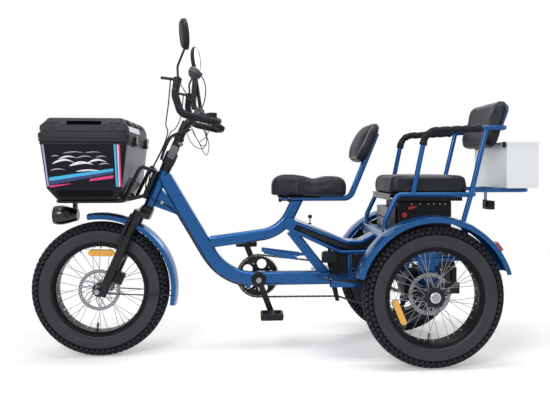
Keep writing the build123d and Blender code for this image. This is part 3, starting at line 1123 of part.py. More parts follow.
def build_chain():
    """Chain loop: ring, sprocket, two derailleur pulleys and the idler."""
    wheels = [(BB_X, BB_HEIGHT, RING_PITCH, 1), (REAR_AXLE_X, AXLE_Z, SPROCKET_PITCH, 1),
              (GUIDE_PULLEY[0], GUIDE_PULLEY[1], PULLEY_PITCH, -1),
              (TENSION_PULLEY[0], TENSION_PULLEY[1], PULLEY_PITCH, 1),
              (IDLER[0], IDLER[1], IDLER_PITCH, -1)]
    outer = [(x, z, r + turn * CHAIN_HALF, turn) for x, z, r, turn in wheels]
    inner = [(x, z, r - turn * CHAIN_HALF, turn) for x, z, r, turn in wheels]
    path = loop_face(wheels).wire()
    links = round(path.length / (2 * LINK_PITCH))
    with BuildPart() as chain:
        extrude(loop_face(outer), amount=CHAIN_WIDTH)
        extrude(loop_face(inner), amount=CHAIN_WIDTH, mode=Mode.SUBTRACT)
        middle = Vector(0, -CHAIN_WIDTH / 2, 0)
        spots = [Plane(origin=path @ (index / links) + middle, x_dir=path % (index / links), z_dir=(0, -1, 0))
                 for index in range(links)]
        with Locations(*[Location(spot) for spot in spots]):
            Box(LINK_LENGTH, 2 * LINK_HALF, LINK_WIDTH)
    save(chain, "chain")
    with BuildPart() as rear_sprockets:
        tip = SPROCKET_PITCH - LINK_HALF - SEAT_GAP
        add_rod((REAR_AXLE_X, CHAIN_Y - 1.5, AXLE_Z), (REAR_AXLE_X, CHAIN_Y + 1.5, AXLE_Z), tip)
        for index in range(1, 5):
            y = CHAIN_Y - 4.8 * index
            add_rod((REAR_AXLE_X, y - 1, AXLE_Z), (REAR_AXLE_X, y + 1, AXLE_Z), tip - 3 * index)
        add_rod((REAR_AXLE_X, CHAIN_Y - 28, AXLE_Z), (REAR_AXLE_X, CHAIN_Y + 6, AXLE_Z), 28)
        add_rod((REAR_AXLE_X, CHAIN_Y - 30, AXLE_Z), (REAR_AXLE_X, CHAIN_Y + 8, AXLE_Z), 24 + SEAT_GAP,
                mode=Mode.SUBTRACT)
    save(rear_sprockets, "rear_sprockets")
    with BuildPart() as chain_tensioner:
        for x, z, pitch in ((*GUIDE_PULLEY, PULLEY_PITCH), (*TENSION_PULLEY, PULLEY_PITCH), (*IDLER, IDLER_PITCH)):
            add_rod((x, CHAIN_Y - 1.5, z), (x, CHAIN_Y + 1.5, z), pitch - LINK_HALF - TOOTH_GAP)
            add_rod((x, CHAIN_Y - 9, z), (x, CHAIN_Y + 9, z), 5)
        for y in (CHAIN_Y + 6, CHAIN_Y - 8):
            add_side_plate([(GUIDE_PULLEY[0] - 10, GUIDE_PULLEY[1] + 4), (GUIDE_PULLEY[0] + 10, GUIDE_PULLEY[1] + 4),
                            (TENSION_PULLEY[0] + 10, TENSION_PULLEY[1] - 4),
                            (TENSION_PULLEY[0] - 10, TENSION_PULLEY[1] - 4)], (y, y + 2))
        add_rod((GUIDE_PULLEY[0], CHAIN_Y + 8, GUIDE_PULLEY[1]), (GUIDE_PULLEY[0], CHAIN_Y + 20, GUIDE_PULLEY[1]), 9)
        add_side_plate([(GUIDE_PULLEY[0] - 9, GUIDE_PULLEY[1] - 6), (GUIDE_PULLEY[0] + 9, GUIDE_PULLEY[1] - 6),
                        (REAR_AXLE_X + 14, AXLE_Z - 24 - SEAT_GAP), (REAR_AXLE_X - 8, AXLE_Z - 24 - SEAT_GAP)],
                       (CHAIN_Y + 12, CHAIN_Y + 20))
        add_side_plate([(IDLER[0] - 9, IDLER[1] - 6), (IDLER[0] + 9, IDLER[1] - 6),
                        (RUN_END_X - 8, BB_HEIGHT - 20), (RUN_END_X - 38, BB_HEIGHT - 20)],
                       (CHAIN_Y + 7, CHAIN_Y + 12))
    save(chain_tensioner, "chain_tensioner")


def build_chain_guard():
    """Slim guard over the front of the chain's top run, bolted to the strut."""
    with BuildPart() as chain_guard:
        add_side_plate([(BB_X - 15, BB_HEIGHT + 112), (BB_X - 15, BB_HEIGHT + 132), (BB_X - 190, BB_HEIGHT + 108),
                        (BB_X - 190, BB_HEIGHT + 88)], (CHAIN_Y - 8, CHAIN_Y + 4))
        tab_z = (BB_HEIGHT + 92, BB_HEIGHT + 106)
        add_block((BB_X - 250, BB_X - 180), (CHAIN_Y + 4, CHAIN_Y + 8), tab_z)
        add_block((BB_X - 250, BB_X - 226), (CHAIN_Y + 4, -STRUT_SIZE / 2 - SEAT_GAP), tab_z)
    save(chain_guard, "chain_guard")


CRANK_WIDTH = 26
CRANK_THICK = 14
ARM_Y = 50
PEDAL_AXLE = 6
PEDAL_LENGTH = 96
PEDAL_WIDTH = 92
PEDAL_THICK = 26
RING_HOLES = 5
RING_HOLE = 22
RING_HOLE_PLACE = 58


def crank_tip(side):
    """Centre of a pedal axle, in X and Z; side +1 is the left crank."""
    angle = radians(CRANK_ANGLE if side > 0 else CRANK_ANGLE - 180)
    return BB_X + CRANK_LENGTH * cos(angle), BB_HEIGHT + CRANK_LENGTH * sin(angle)


def build_crankset():
    """Spindle, two arms with pedal pins, and the ring on the right."""
    with BuildPart() as crankset:
        right_y = CHAIN_Y - 16
        add_rod((BB_X, right_y, BB_HEIGHT), (BB_X, ARM_Y, BB_HEIGHT), SPINDLE_RADIUS)
        for side, low in ((1, ARM_Y), (-1, right_y - CRANK_THICK)):
            tip_x, tip_z = crank_tip(side)
            angle = degrees(atan2(tip_z - BB_HEIGHT, tip_x - BB_X))
            plane = Plane(origin=(BB_X, low + CRANK_THICK, BB_HEIGHT), x_dir=(1, 0, 0), z_dir=(0, -1, 0))
            with BuildSketch(plane) as arm:
                with Locations(Rotation(0, 0, angle) * Location((CRANK_LENGTH / 2, 0))):
                    SlotCenterToCenter(CRANK_LENGTH, CRANK_WIDTH)
                Circle(19)
            extrude(arm.sketch, amount=CRANK_THICK)
            outer = low + CRANK_THICK if side > 0 else low
            add_rod((tip_x, outer, tip_z), (tip_x, outer + side * (PEDAL_WIDTH + 16), tip_z), PEDAL_AXLE)
        ring_plane = Plane(origin=(BB_X, CHAIN_Y + 2, BB_HEIGHT), x_dir=(1, 0, 0), z_dir=(0, -1, 0))
        with BuildSketch(ring_plane) as ring:
            Circle(RING_PITCH - LINK_HALF - TOOTH_GAP)
            with PolarLocations(RING_HOLE_PLACE, RING_HOLES, start_angle=CRANK_ANGLE):
                Circle(RING_HOLE, mode=Mode.SUBTRACT)
        extrude(ring.sketch, amount=4)
    save(crankset, "crankset")


def build_pedals():
    """Platform pedal on each pin."""
    for side, name in ((1, "pedal_left"), (-1, "pedal_right")):
        tip_x, tip_z = crank_tip(side)
        outer = ARM_Y + CRANK_THICK if side > 0 else CHAIN_Y - 16 - CRANK_THICK
        start = outer + side * 14
        with BuildPart() as pedal:
            add_block((tip_x - PEDAL_LENGTH / 2, tip_x + PEDAL_LENGTH / 2), (start, start + side * PEDAL_WIDTH),
                      (tip_z - PEDAL_THICK / 2, tip_z + PEDAL_THICK / 2))
            fillet(pedal.edges().filter_by(Axis.Z), 10)
            for reach in (1, -1):
                add_block((tip_x + reach * 13, tip_x + reach * (PEDAL_LENGTH / 2 - 10)),
                          (start + side * 12, start + side * (PEDAL_WIDTH - 12)),
                          (tip_z - PEDAL_THICK, tip_z + PEDAL_THICK), mode=Mode.SUBTRACT)
            add_rod((tip_x, start - side, tip_z), (tip_x, start + side * PEDAL_WIDTH + side, tip_z),
                    PEDAL_AXLE + FIT, mode=Mode.SUBTRACT)
        save(pedal, name)


def build_front_caliper():
    """Caliper over the front disc, on lugs behind the left fork leg."""
    with BuildPart() as front_caliper:
        with BuildSketch(STEER.offset(58)) as body:
            with Locations((-20, 50)):
                Rectangle(30, 26)
        extrude(body.sketch, amount=52)
        with BuildSketch(STEER.offset(62)) as lug:
            with Locations((-2, 64)):
                Rectangle(24, 14)
        extrude(lug.sketch, amount=44)
        with BuildSketch(STEER.offset(50)) as leg:
            with Locations((STANCHION_FORWARD, LEG_Y)):
                Circle(LEG_RADIUS + SEAT_GAP)
        extrude(leg.sketch, amount=70, mode=Mode.SUBTRACT)
        add_rod((FRONT_AXLE_X, 43, AXLE_Z), (FRONT_AXLE_X, 49, AXLE_Z), ROTOR_RADIUS + 3, mode=Mode.SUBTRACT)
    save(front_caliper, "front_caliper")


# ---- Brake cables ------------------------------------------------------------------------------------
CABLE_RADIUS = 2.5
CABLE_DROP = DOWN_TUBE_DEPTH / 2 + CABLE_RADIUS + 2.5
HARNESS_TOP = 600



def cable_radii(points):
    """Largest arc at each corner that leaves a tenth of the shorter run straight."""
    vectors = [Vector(*point) for point in points]
    radii = []
    for before, corner, after in zip(vectors, vectors[1:], vectors[2:]):
        run = min((corner - before).length, (after - corner).length)
        turn = radians((corner - before).get_angle(after - corner))
        radii.append(0.45 * run / tan(turn / 2))
    return radii


def under_tube(along, side):
    """Point on the left under the straight of the down tube, a distance down from its top."""
    top = steer_point(FORK_LENGTH + DOWN_TUBE_TOP, -8)
    run = (Vector(BB_X + 150, 0, BB_HEIGHT) - top).normalized()
    return top + run * along + Vector(-run.Z, 0, run.X) * CABLE_DROP + Vector(0, side, 0)


def under_bend(angle, side):
    """Point under the bend of the down tube, at an angle below the horizontal."""
    centre_x = BB_X + 150 - DOWN_TUBE_BEND * tan(radians(30))
    reach = DOWN_TUBE_BEND + CABLE_DROP
    return Vector(centre_x + reach * cos(radians(angle)), side,
                  BB_HEIGHT + DOWN_TUBE_BEND - reach * sin(radians(angle)))


def build_cables():
    """Two brake cables: from the levers to the harness, and on under the down tube to their gland."""
    upper = [Vector(FRONT_AXLE_X - 334, 267, 1177.5), Vector(FRONT_AXLE_X - 330, 268, 1127),
             Vector(FRONT_AXLE_X - 324, 258, 1078), Vector(FRONT_AXLE_X - 314, 228, 1038),
             Vector(FRONT_AXLE_X - 304, 182, 1012), Vector(FRONT_AXLE_X - 299, 128, 1000),
             Vector(FRONT_AXLE_X - 299, 76, 996), steer_point(742, 50, 32), steer_point(700, 48, 12),
             steer_point(650, 49, 9), steer_point(HARNESS_TOP, 52, 8)]
    lower = [steer_point(HARNESS_TOP - OPEN_GAP, 52, 8), steer_point(557, 55, 14), steer_point(518, 52, 34),
             steer_point(487, 42, 54), steer_point(460, 10, 58), steer_point(443, -30, 46),
             Vector(FRONT_AXLE_X - 283, 27, 663), under_tube(160, 15), under_tube(220, 13), under_tube(280, 14.5),
             under_tube(340, 13), under_bend(30, 14.5), under_bend(42, 13), under_bend(54, 14.5),
             under_bend(66, 13), under_bend(77, 14), Vector(GLAND_X[1] + 0.8, 13, BB_HEIGHT - 33)]
    for points, name in ((upper, "steering_cables"), (lower, "frame_cables")):
        print(name, [round(radius) for radius in cable_radii(points)])
        with BuildPart() as cables:
            for side in (1, -1):
                route = [Vector(point.X, point.Y * side, point.Z) for point in points]
                add_tube(route, cable_radii(route), CABLE_RADIUS)
        save(cables, name)


os.makedirs("parts", exist_ok=True)

HUB_HALF = LEG_SPACING / 2 - LEG_RADIUS - OPEN_GAP
for name, x, y in (("front", FRONT_AXLE_X, 0), ("rear_left", REAR_AXLE_X, WHEEL_Y),
                   ("rear_right", REAR_AXLE_X, -WHEEL_Y)):
    build_tyre(f"{name}_tyre", x, y)
    build_rim(f"{name}_rim", x, y)
build_hub("front_hub", FRONT_AXLE_X, 0, HUB_HALF, -HUB_HALF, AXLE_RADIUS + FIT, 46)
build_hub("rear_left_hub", REAR_AXLE_X, WHEEL_Y, HUB_REAR_OUTER, HUB_REAR_INNER,
          REAR_AXLE_RADIUS + FIT, ROTOR_Y)
build_hub("rear_right_hub", REAR_AXLE_X, -WHEEL_Y, -HUB_REAR_INNER, -HUB_REAR_OUTER,
          REAR_AXLE_RADIUS + FIT, -ROTOR_Y)
build_main_frame()
build_beam_inserts()
build_rear_frame()
build_foot_decks()
build_boxes()
build_rear_axle()
build_rear_calipers()
build_rear_fenders()
build_front_fender()
build_fork()
build_stem()
build_handlebar()
build_bar_grips()
build_brake_levers()
build_bar_controls()
build_mirrors()
build_cargo_box()
build_cargo_lid()
build_front_rack()
build_headlight()
build_saddle()
build_saddle_rail()
build_rider_backrest()
build_passenger_seat_frame()
build_arm_sleeves()
build_passenger_seat()
build_rear_rack()
build_rear_bin()
build_rear_lights()
build_chain()
build_chain_guard()
build_crankset()
build_pedals()
build_front_caliper()
build_cables()
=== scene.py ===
"""Looks of the electric cargo tricycle, dressed over its packed construction."""
import json
import logging
import math
from dataclasses import dataclass, field
from enum import Enum
from typing import Callable, Optional, Sequence

import bpy
from mathutils import Matrix, Vector
from mathutils.bvhtree import BVHTree

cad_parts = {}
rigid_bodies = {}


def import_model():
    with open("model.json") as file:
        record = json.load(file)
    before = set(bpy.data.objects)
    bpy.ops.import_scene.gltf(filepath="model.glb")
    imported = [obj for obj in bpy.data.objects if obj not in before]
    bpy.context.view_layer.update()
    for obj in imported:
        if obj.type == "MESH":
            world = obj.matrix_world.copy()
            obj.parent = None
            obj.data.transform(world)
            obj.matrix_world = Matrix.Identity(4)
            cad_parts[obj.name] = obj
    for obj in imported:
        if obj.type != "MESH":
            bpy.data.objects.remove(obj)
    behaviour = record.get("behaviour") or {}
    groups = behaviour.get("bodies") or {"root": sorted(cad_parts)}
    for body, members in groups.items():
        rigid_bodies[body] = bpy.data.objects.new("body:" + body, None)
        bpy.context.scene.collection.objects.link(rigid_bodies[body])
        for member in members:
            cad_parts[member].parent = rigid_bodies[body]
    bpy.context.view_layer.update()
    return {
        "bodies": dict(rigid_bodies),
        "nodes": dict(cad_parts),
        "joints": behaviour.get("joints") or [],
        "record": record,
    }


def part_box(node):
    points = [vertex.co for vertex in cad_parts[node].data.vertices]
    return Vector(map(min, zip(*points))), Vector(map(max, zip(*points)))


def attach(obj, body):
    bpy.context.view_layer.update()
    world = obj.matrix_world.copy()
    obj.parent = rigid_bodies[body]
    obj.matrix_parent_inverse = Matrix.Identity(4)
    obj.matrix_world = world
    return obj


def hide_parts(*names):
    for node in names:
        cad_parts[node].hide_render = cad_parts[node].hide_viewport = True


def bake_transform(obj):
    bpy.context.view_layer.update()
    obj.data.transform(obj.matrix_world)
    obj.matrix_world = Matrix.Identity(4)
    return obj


LOG = logging.getLogger("tricycle")
MM = 0.001
Ring = list[Vector]
Pairs = Sequence[tuple[float, float]]

# Shared places of the vehicle, in millimetres.
FRONT_AXLE = (806, 0, 296)
REAR_AXLE = (-599, 0, 296)
REAR_WHEEL_Y = 305
FENDER_SKIRT_RADIUS = 296 + 37 + 2.5 - 26
REST_POST = ((-301, 0, 703.7), (-423, 0, 985))
# Sine and cosine of the steering axis' tilt, and the axis' zero in X and Z.
STEER_SIN, STEER_COS = 0.40674, 0.91355
STEER_ZERO = (767.63, 278.92)
SIDES = ((1, "left"), (-1, "right"))
ORIGIN, AHEAD, LEFTWARD, UPWARD = (Vector(axis) for axis in ((0, 0, 0), (1, 0, 0), (0, 1, 0), (0, 0, 1)))


# ---- Colour and node helpers ------------------------------------------------------------------
def linear(code: str) -> tuple[float, float, float, float]:
    """Turn an sRGB hex code into a linear colour.

    Args:
        code: Colour as "#rrggbb".

    Returns:
        Linear red, green, blue and an alpha of 1.
    """
    def channel(text: str) -> float:
        """Linear value of one two-digit channel."""
        value = int(text, 16) / 255
        return value / 12.92 if value <= 0.04045 else ((value + 0.055) / 1.055) ** 2.4

    return channel(code[1:3]), channel(code[3:5]), channel(code[5:7]), 1.0


def add_node(tree: bpy.types.NodeTree, kind: str, settings: Optional[dict] = None,
             inputs: Optional[dict] = None) -> bpy.types.Node:
    """Add a node, set its properties, and set or link its inputs.

    Args:
        tree: Node tree that receives the node.
        kind: Type name of the node.
        settings: Property names and values.
        inputs: Socket names or indices, with a value or an output socket to link from.

    Returns:
        The new node.
    """
    node = tree.nodes.new(kind)
    for name, value in (settings or {}).items():
        setattr(node, name, value)
    for name, value in (inputs or {}).items():
        if isinstance(value, bpy.types.NodeSocket):
            tree.links.new(value, node.inputs[name])
        else:
            node.inputs[name].default_value = value
    return node


def fresh_tree(owner: bpy.types.Material | bpy.types.World) -> bpy.types.NodeTree:
    """Empty node tree of a new material or world."""
    owner.use_nodes = True
    owner.node_tree.nodes.clear()
    return owner.node_tree


def linked(name: str, data: bpy.types.ID) -> bpy.types.Object:
    """New object of some data, linked into the scene."""
    piece = bpy.data.objects.new(name, data)
    bpy.context.scene.collection.objects.link(piece)
    return piece


# ---- Mesh helpers -----------------------------------------------------------------------------
@dataclass
class Shell:
    """Points in millimetres and the faces between them, each face with a finish number."""

    points: list[Vector] = field(default_factory=list)
    faces: list[tuple[int, ...]] = field(default_factory=list)
    tints: list[int] = field(default_factory=list)

    def rings(self, rings: Sequence[Ring], caps: bool = True, loop: bool = False, tint: int = 0) -> "Shell":
        """Skin rings of equal count, which turn anticlockwise seen from where the rings go.

        Args:
            rings: Rings in order.
            caps: Close the first and the last ring.
            loop: Join the last ring to the first.
            tint: Finish number of the faces.

        Returns:
            This shell.
        """
        start = len(self.points)
        count = len(rings[0])
        for ring in rings:
            self.points += [Vector(point) for point in ring]
        pairs = list(zip(range(len(rings)), range(1, len(rings)))) + ([(len(rings) - 1, 0)] if loop else [])
        fresh: list[tuple[int, ...]] = []
        for low, high in pairs:
            for k in range(count):
                n = (k + 1) % count
                fresh.append((start + low * count + k, start + low * count + n,
                              start + high * count + n, start + high * count + k))
        if caps and not loop:
            fresh.append(tuple(start + k for k in reversed(range(count))))
            fresh.append(tuple(start + (len(rings) - 1) * count + k for k in range(count)))
        self.faces += fresh
        self.tints += [tint] * len(fresh)
        return self

    def lathe(self, profile: Pairs, centre: Vector, axis: Vector = LEFTWARD,
              sides: int = 48, loop: bool = False, tint: int = 0) -> "Shell":
        """Turn a profile of (place along the axis, radius) round an axis.

        Args:
            profile: Profile points in order along the axis.
            centre: Where the axis has its zero.
            axis: Direction of the axis.
            sides: Count of segments.
            loop: The profile is a closed outline.
            tint: Finish number.

        Returns:
            This shell.
        """
        axis = Vector(axis).normalized()
        first, second = across(axis)
        rings = []
        for along, radius in profile:
            rings.append([centre + axis * along + (first * math.cos(turn) + second * math.sin(turn)) * radius
                          for turn in (math.tau * k / sides for k in range(sides))])
        return self.rings(rings, caps=not loop, loop=loop, tint=tint)

    def sweep(self, path: Sequence[Vector], radius: Callable[[float, float], float] | float, sides: int = 12,
              tint: int = 0) -> "Shell":
        """Run a round section along a path.

        Args:
            path: Points of the centre line.
            radius: Radius, or a function of the run in millimetres and the angle round the path.
            sides: Count of sides.
            tint: Finish number.

        Returns:
            This shell.
        """
        grow = radius if callable(radius) else (lambda run, turn: radius)
        rings = []
        run = 0.0
        heading = (path[1] - path[0]).normalized()
        first = across(heading)[0]
        for k, point in enumerate(path):
            ahead = path[min(k + 1, len(path) - 1)] - path[max(k - 1, 0)]
            heading = ahead.normalized()
            first = (first - heading * first.dot(heading)).normalized()
            second = heading.cross(first)
            run += (point - path[k - 1]).length if k else 0.0
            rings.append([point + (first * math.cos(turn) + second * math.sin(turn)) * grow(run, turn)
                          for turn in (math.tau * n / sides for n in range(sides))])
        return self.rings(rings, tint=tint)

    def plate(self, outline: Pairs, place: Matrix, depth: float, bevel: float = 0.6,
              tint: int = 0) -> "Shell":
        """Raise a flat outline into a plate with softened edges.

        Args:
            outline: Outline in the plane, anticlockwise.
            place: Frame of the plane; its third column is the way that the plate rises.
            depth: Height of the plate.
            bevel: Width of the softened edge.
            tint: Finish number.

        Returns:
            This shell.
        """
        middle = Vector((sum(p[0] for p in outline), sum(p[1] for p in outline))) / len(outline)
        span = max((Vector(p) - middle).length for p in outline)
        rings = []
        for inset, height in ((bevel, 0.0), (0.0, bevel), (0.0, depth - bevel), (bevel, depth)):
            keep = 1 - inset / span
            rings.append([place @ Vector((middle.x + (p[0] - middle.x) * keep,
                                          middle.y + (p[1] - middle.y) * keep, height)) for p in outline])
        return self.rings(rings, tint=tint)

    def build(self, name: str, *finishes: "Finish", angle: float = 38.0) -> bpy.types.Object:
        """Make the shell an object at the origin.

        Args:
            name: Object name.
            finishes: Finishes by number.
            angle: Edges sharper than this stay crisp, in degrees.

        Returns:
            The new object.
        """
        mesh = bpy.data.meshes.new(name)
        mesh.from_pydata([point * MM for point in self.points], [], self.faces)
        for finish in finishes:
            mesh.materials.append(finish.material())
        mesh.polygons.foreach_set("material_index", self.tints)
        mesh.validate()
        mesh.shade_smooth()
        mesh.set_sharp_from_angle(angle=math.radians(angle))
        return linked(name, mesh)

    def put(self, name: str, body: str, slot: str, *finishes: "Finish", angle: float = 38.0) -> bpy.types.Object:
        """Make the shell an object that rides on a body.

        Args:
            name: Object name.
            body: Body that carries it.
            slot: Material slot of the record; not used.
            finishes: Finishes by number.
            angle: Edges sharper than this stay crisp, in degrees.

        Returns:
            The new object.
        """
        return ride(self.build(name, *finishes, angle=angle), body)


def across(axis: Vector) -> tuple[Vector, Vector]:
    """Two unit vectors square to an axis; first, second and the axis are right-handed."""
    side = AHEAD if abs(axis.x) < 0.8 else UPWARD
    first = (side - axis * side.dot(axis)).normalized()
    return first, axis.cross(first)


def frame_at(origin: Sequence[float], normal: Sequence[float], level: Sequence[float] = (0, 1, 0)) -> Matrix:
    """Frame with its third column along the normal and its first column near a level direction.

    Args:
        origin: Origin in millimetres.
        normal: Direction of the third column.
        level: Direction that the first column leans to.

    Returns:
        The frame as a 4 by 4 matrix.
    """
    third = Vector(normal).normalized()
    first = Vector(level)
    first = (first - third * first.dot(third)).normalized()
    second = third.cross(first)
    turn = Matrix((first, second, third)).transposed().to_4x4()
    return Matrix.Translation(Vector(origin)) @ turn


def rounded(width: float, height: float, corner: float, steps: int = 6) -> list[tuple[float, float]]:
    """Anticlockwise outline of a rectangle with round corners, about its centre."""
    points = []
    for quarter, (sx, sy) in enumerate(((1, 1), (-1, 1), (-1, -1), (1, -1))):
        for k in range(steps + 1):
            turn = math.pi / 2 * (quarter + k / steps)
            points.append((sx * (width / 2 - corner) + corner * math.cos(turn),
                           sy * (height / 2 - corner) + corner * math.sin(turn)))
    return points


def oval(width: float, height: float, count: int = 40) -> list[tuple[float, float]]:
    """Anticlockwise ellipse about its centre."""
    return [(width / 2 * math.cos(math.tau * k / count), height / 2 * math.sin(math.tau * k / count))
            for k in range(count)]


def bent(points: Sequence[Sequence[float]], bends: Sequence[float], step: float = 6.0) -> list[Vector]:
    """Centre line of a bent tube: straight runs with an arc of a given radius at each corner.

    Args:
        points: Corners, with both ends.
        bends: Radius at each inner corner.
        step: Spacing of the points in millimetres.

    Returns:
        Points of the line.
    """
    corners = [Vector(point) for point in points]
    line = [corners[0]]
    for before, corner, after, bend in zip(corners, corners[1:], corners[2:], bends):
        back = (before - corner).normalized()
        ahead = (after - corner).normalized()
        half = back.angle(ahead) / 2
        reach = bend / math.tan(half)
        centre = corner + (back + ahead).normalized() * (bend / math.sin(half))
        start, end = corner + back * reach - centre, corner + ahead * reach - centre
        count = max(int(bend * (math.pi - 2 * half) / step), 3)
        line += runs(line[-1], centre + start, step)
        axis = start.cross(end).normalized()
        line += [centre + Matrix.Rotation((math.pi - 2 * half) * k / count, 3, axis) @ start
                 for k in range(1, count + 1)]
    return line + runs(line[-1], corners[-1], step)


def runs(start: Vector, end: Vector, step: float) -> list[Vector]:
    """Evenly spaced points after a start, up to an end."""
    count = max(int((end - start).length / step), 1)
    return [start.lerp(end, k / count) for k in range(1, count + 1)]


def anticlockwise(outline: Sequence[Vector]) -> list[Vector]:
    """Outline in X and Y, turned round if it runs clockwise."""
    points = list(outline)
    area = sum(a.x * b.y - b.x * a.y for a, b in zip(points, points[1:] + points[:1]))
    return points if area > 0 else points[::-1]


def shaped(piece: bpy.types.Object) -> bpy.types.Mesh:
    """Mesh of a piece as its modifiers or its curve draw it."""
    graph = bpy.context.evaluated_depsgraph_get()
    return bpy.data.meshes.new_from_object(piece.evaluated_get(graph))


def settle(piece: bpy.types.Object) -> bpy.types.Object:
    """Turn a piece's modifiers into a plain mesh.

    Args:
        piece: Object with live modifiers.

    Returns:
        The same object.
    """
    mesh = shaped(piece)
    piece.modifiers.clear()
    piece.data = mesh
    return piece


def ride(piece: bpy.types.Object, body: str) -> bpy.types.Object:
    """Fix a piece to a body and report it.

    Args:
        piece: The piece.
        body: Body that carries it.

    Returns:
        The piece.
    """
    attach(piece, body)
    LOG.info("piece %s rides on %s: %d faces", piece.name, body, len(piece.data.polygons))
    return piece


# ---- Repeats made with Geometry Nodes ---------------------------------------------------------
class Layout(Enum):
    """How a repeat places its items."""

    RING = "ring"
    ROW = "row"
    POINTS = "points"


@dataclass
class Repeat:
    """Geometry Nodes tree that sets copies of one item round an axle, in a row or at given points.

    Attributes:
        layout: How the items are placed.
    """

    layout: Layout

    def tree(self) -> bpy.types.NodeTree:
        """Return this layout's tree, made on first use."""
        name = f"repeat_{self.layout.value}"
        known = bpy.data.node_groups.get(name)
        if known:
            return known
        tree = bpy.data.node_groups.new(name, "GeometryNodeTree")
        tree.interface.new_socket("Geometry", in_out="OUTPUT", socket_type="NodeSocketGeometry")
        for label, kind in (("Geometry", "Geometry"), ("Item", "Object"), ("Finish", "Material"),
                            ("Count", "Int"), ("Radius", "Float"), ("Phase", "Float"), ("Place", "Vector"),
                            ("Step", "Vector"), ("Turn", "Vector")):
            tree.interface.new_socket(label, in_out="INPUT", socket_type=f"NodeSocket{kind}")
        given = add_node(tree, "NodeGroupInput").outputs
        item = add_node(tree, "GeometryNodeObjectInfo", inputs={"Object": given["Item"]})
        where, turn, size = getattr(self, f"_{self.layout.value}")(tree, given)
        copies = add_node(tree, "GeometryNodeInstanceOnPoints", inputs={
            "Points": where, "Instance": item.outputs["Geometry"], "Rotation": turn})
        if size:
            tree.links.new(size, copies.inputs["Scale"])
        placed = copies.outputs[0]
        if self.layout is Layout.RING:
            phase = add_node(tree, "ShaderNodeCombineXYZ", inputs={"Y": given["Phase"]})
            placed = add_node(tree, "GeometryNodeTransform", inputs={
                "Geometry": placed, "Translation": given["Place"], "Rotation": phase.outputs[0]}).outputs[0]
        real = add_node(tree, "GeometryNodeRealizeInstances", inputs={"Geometry": placed})
        dressed = add_node(tree, "GeometryNodeSetMaterial", inputs={
            "Geometry": real.outputs[0], "Material": given["Finish"]})
        add_node(tree, "NodeGroupOutput", inputs={"Geometry": dressed.outputs[0]})
        return tree

    def _ring(self, tree: bpy.types.NodeTree, given: bpy.types.NodeOutputs) -> tuple:
        """Points round the Y axis, each item's Z turned outwards."""
        circle = add_node(tree, "GeometryNodeMeshCircle", inputs={
            "Vertices": given["Count"], "Radius": given["Radius"]})
        upright = add_node(tree, "GeometryNodeTransform", inputs={
            "Geometry": circle.outputs[0], "Rotation": (math.pi / 2, 0.0, 0.0)})
        place = add_node(tree, "GeometryNodeInputPosition")
        aim = add_node(tree, "FunctionNodeAlignRotationToVector", {"axis": "Z", "pivot_axis": "Y"},
                       {"Vector": place.outputs[0]})
        return upright.outputs[0], aim.outputs[0], None

    def _row(self, tree: bpy.types.NodeTree, given: bpy.types.NodeOutputs) -> tuple:
        """Points along a straight line, all items turned alike."""
        line = add_node(tree, "GeometryNodeMeshLine", inputs={
            "Count": given["Count"], "Start Location": given["Place"], "Offset": given["Step"]})
        return line.outputs[0], given["Turn"], None

    def _points(self, tree: bpy.types.NodeTree, given: bpy.types.NodeOutputs) -> tuple:
        """The host's own points, items turned and scaled by its attributes."""
        aim = add_node(tree, "GeometryNodeInputNamedAttribute", {"data_type": "FLOAT_VECTOR"}, {"Name": "aim"})
        size = add_node(tree, "GeometryNodeInputNamedAttribute", {"data_type": "FLOAT"}, {"Name": "size"})
        turn = add_node(tree, "FunctionNodeAlignRotationToVector", {"axis": "Z", "pivot_axis": "AUTO"},
                        {"Vector": aim.outputs[0]})
        return given["Geometry"], turn.outputs[0], size.outputs[0]

    def make(self, name: str, item: bpy.types.Object, finish: "Finish", host: Optional[bpy.types.Mesh] = None,
             **sizes: object) -> bpy.types.Object:
        """Run the tree and keep its result as a plain mesh.

        Args:
            name: Object name.
            item: Template of the copies, which is removed afterwards.
            finish: Finish of the copies.
            host: Mesh whose points are used, for a repeat at points.
            sizes: Values of the tree's other inputs, in metres and radians.

        Returns:
            The new object.
        """
        piece = linked(name, host or bpy.data.meshes.new(name))
        tree = self.tree()
        modifier = piece.modifiers.new("repeat", "NODES")
        modifier.node_group = tree
        values = {"Item": item, "Finish": finish.material()} | sizes
        for socket in tree.interface.items_tree:
            if socket.in_out == "INPUT" and socket.name in values:
                modifier[socket.identifier] = values[socket.name]
        settle(piece)
        piece.data.name = name
        bpy.data.objects.remove(item)
        return piece


def ring_of(name: str, item: bpy.types.Object, finish: "Finish", body: str, centre: Vector, radius: float,
            count: int, share: float = 0.0) -> None:
    """Set items in a ring round the Y axis.

    Args:
        name: Object name.
        item: Template of the items.
        finish: Their finish.
        body: Body that carries them.
        centre: Middle of the ring in millimetres.
        radius: Its radius.
        count: Count of items.
        share: Share of a step that the ring is turned by.
    """
    ride(Repeat(Layout.RING).make(name, item, finish, Count=count, Radius=radius * MM,
                                  Phase=math.tau * share / count, Place=centre * MM), body)


def row_of(name: str, item: bpy.types.Object, finish: "Finish", count: int, start: Vector, step: Vector,
           turn: tuple[float, float, float] = (0, 0, 0)) -> None:
    """Set items in a straight row on the frame.

    Args:
        name: Object name.
        item: Template of the items.
        finish: Their finish.
        count: Count of items.
        start: First place in millimetres.
        step: Way to the next.
        turn: Turn of every item in radians.
    """
    ride(Repeat(Layout.ROW).make(name, item, finish, Count=count, Place=start * MM, Step=step * MM, Turn=turn),
         "frame")


@dataclass(frozen=True)
class Screw:
    """One fastener: where it sits, the way its head looks, and its head's radius in millimetres."""

    place: tuple[float, float, float]
    aim: tuple[float, float, float]
    radius: float


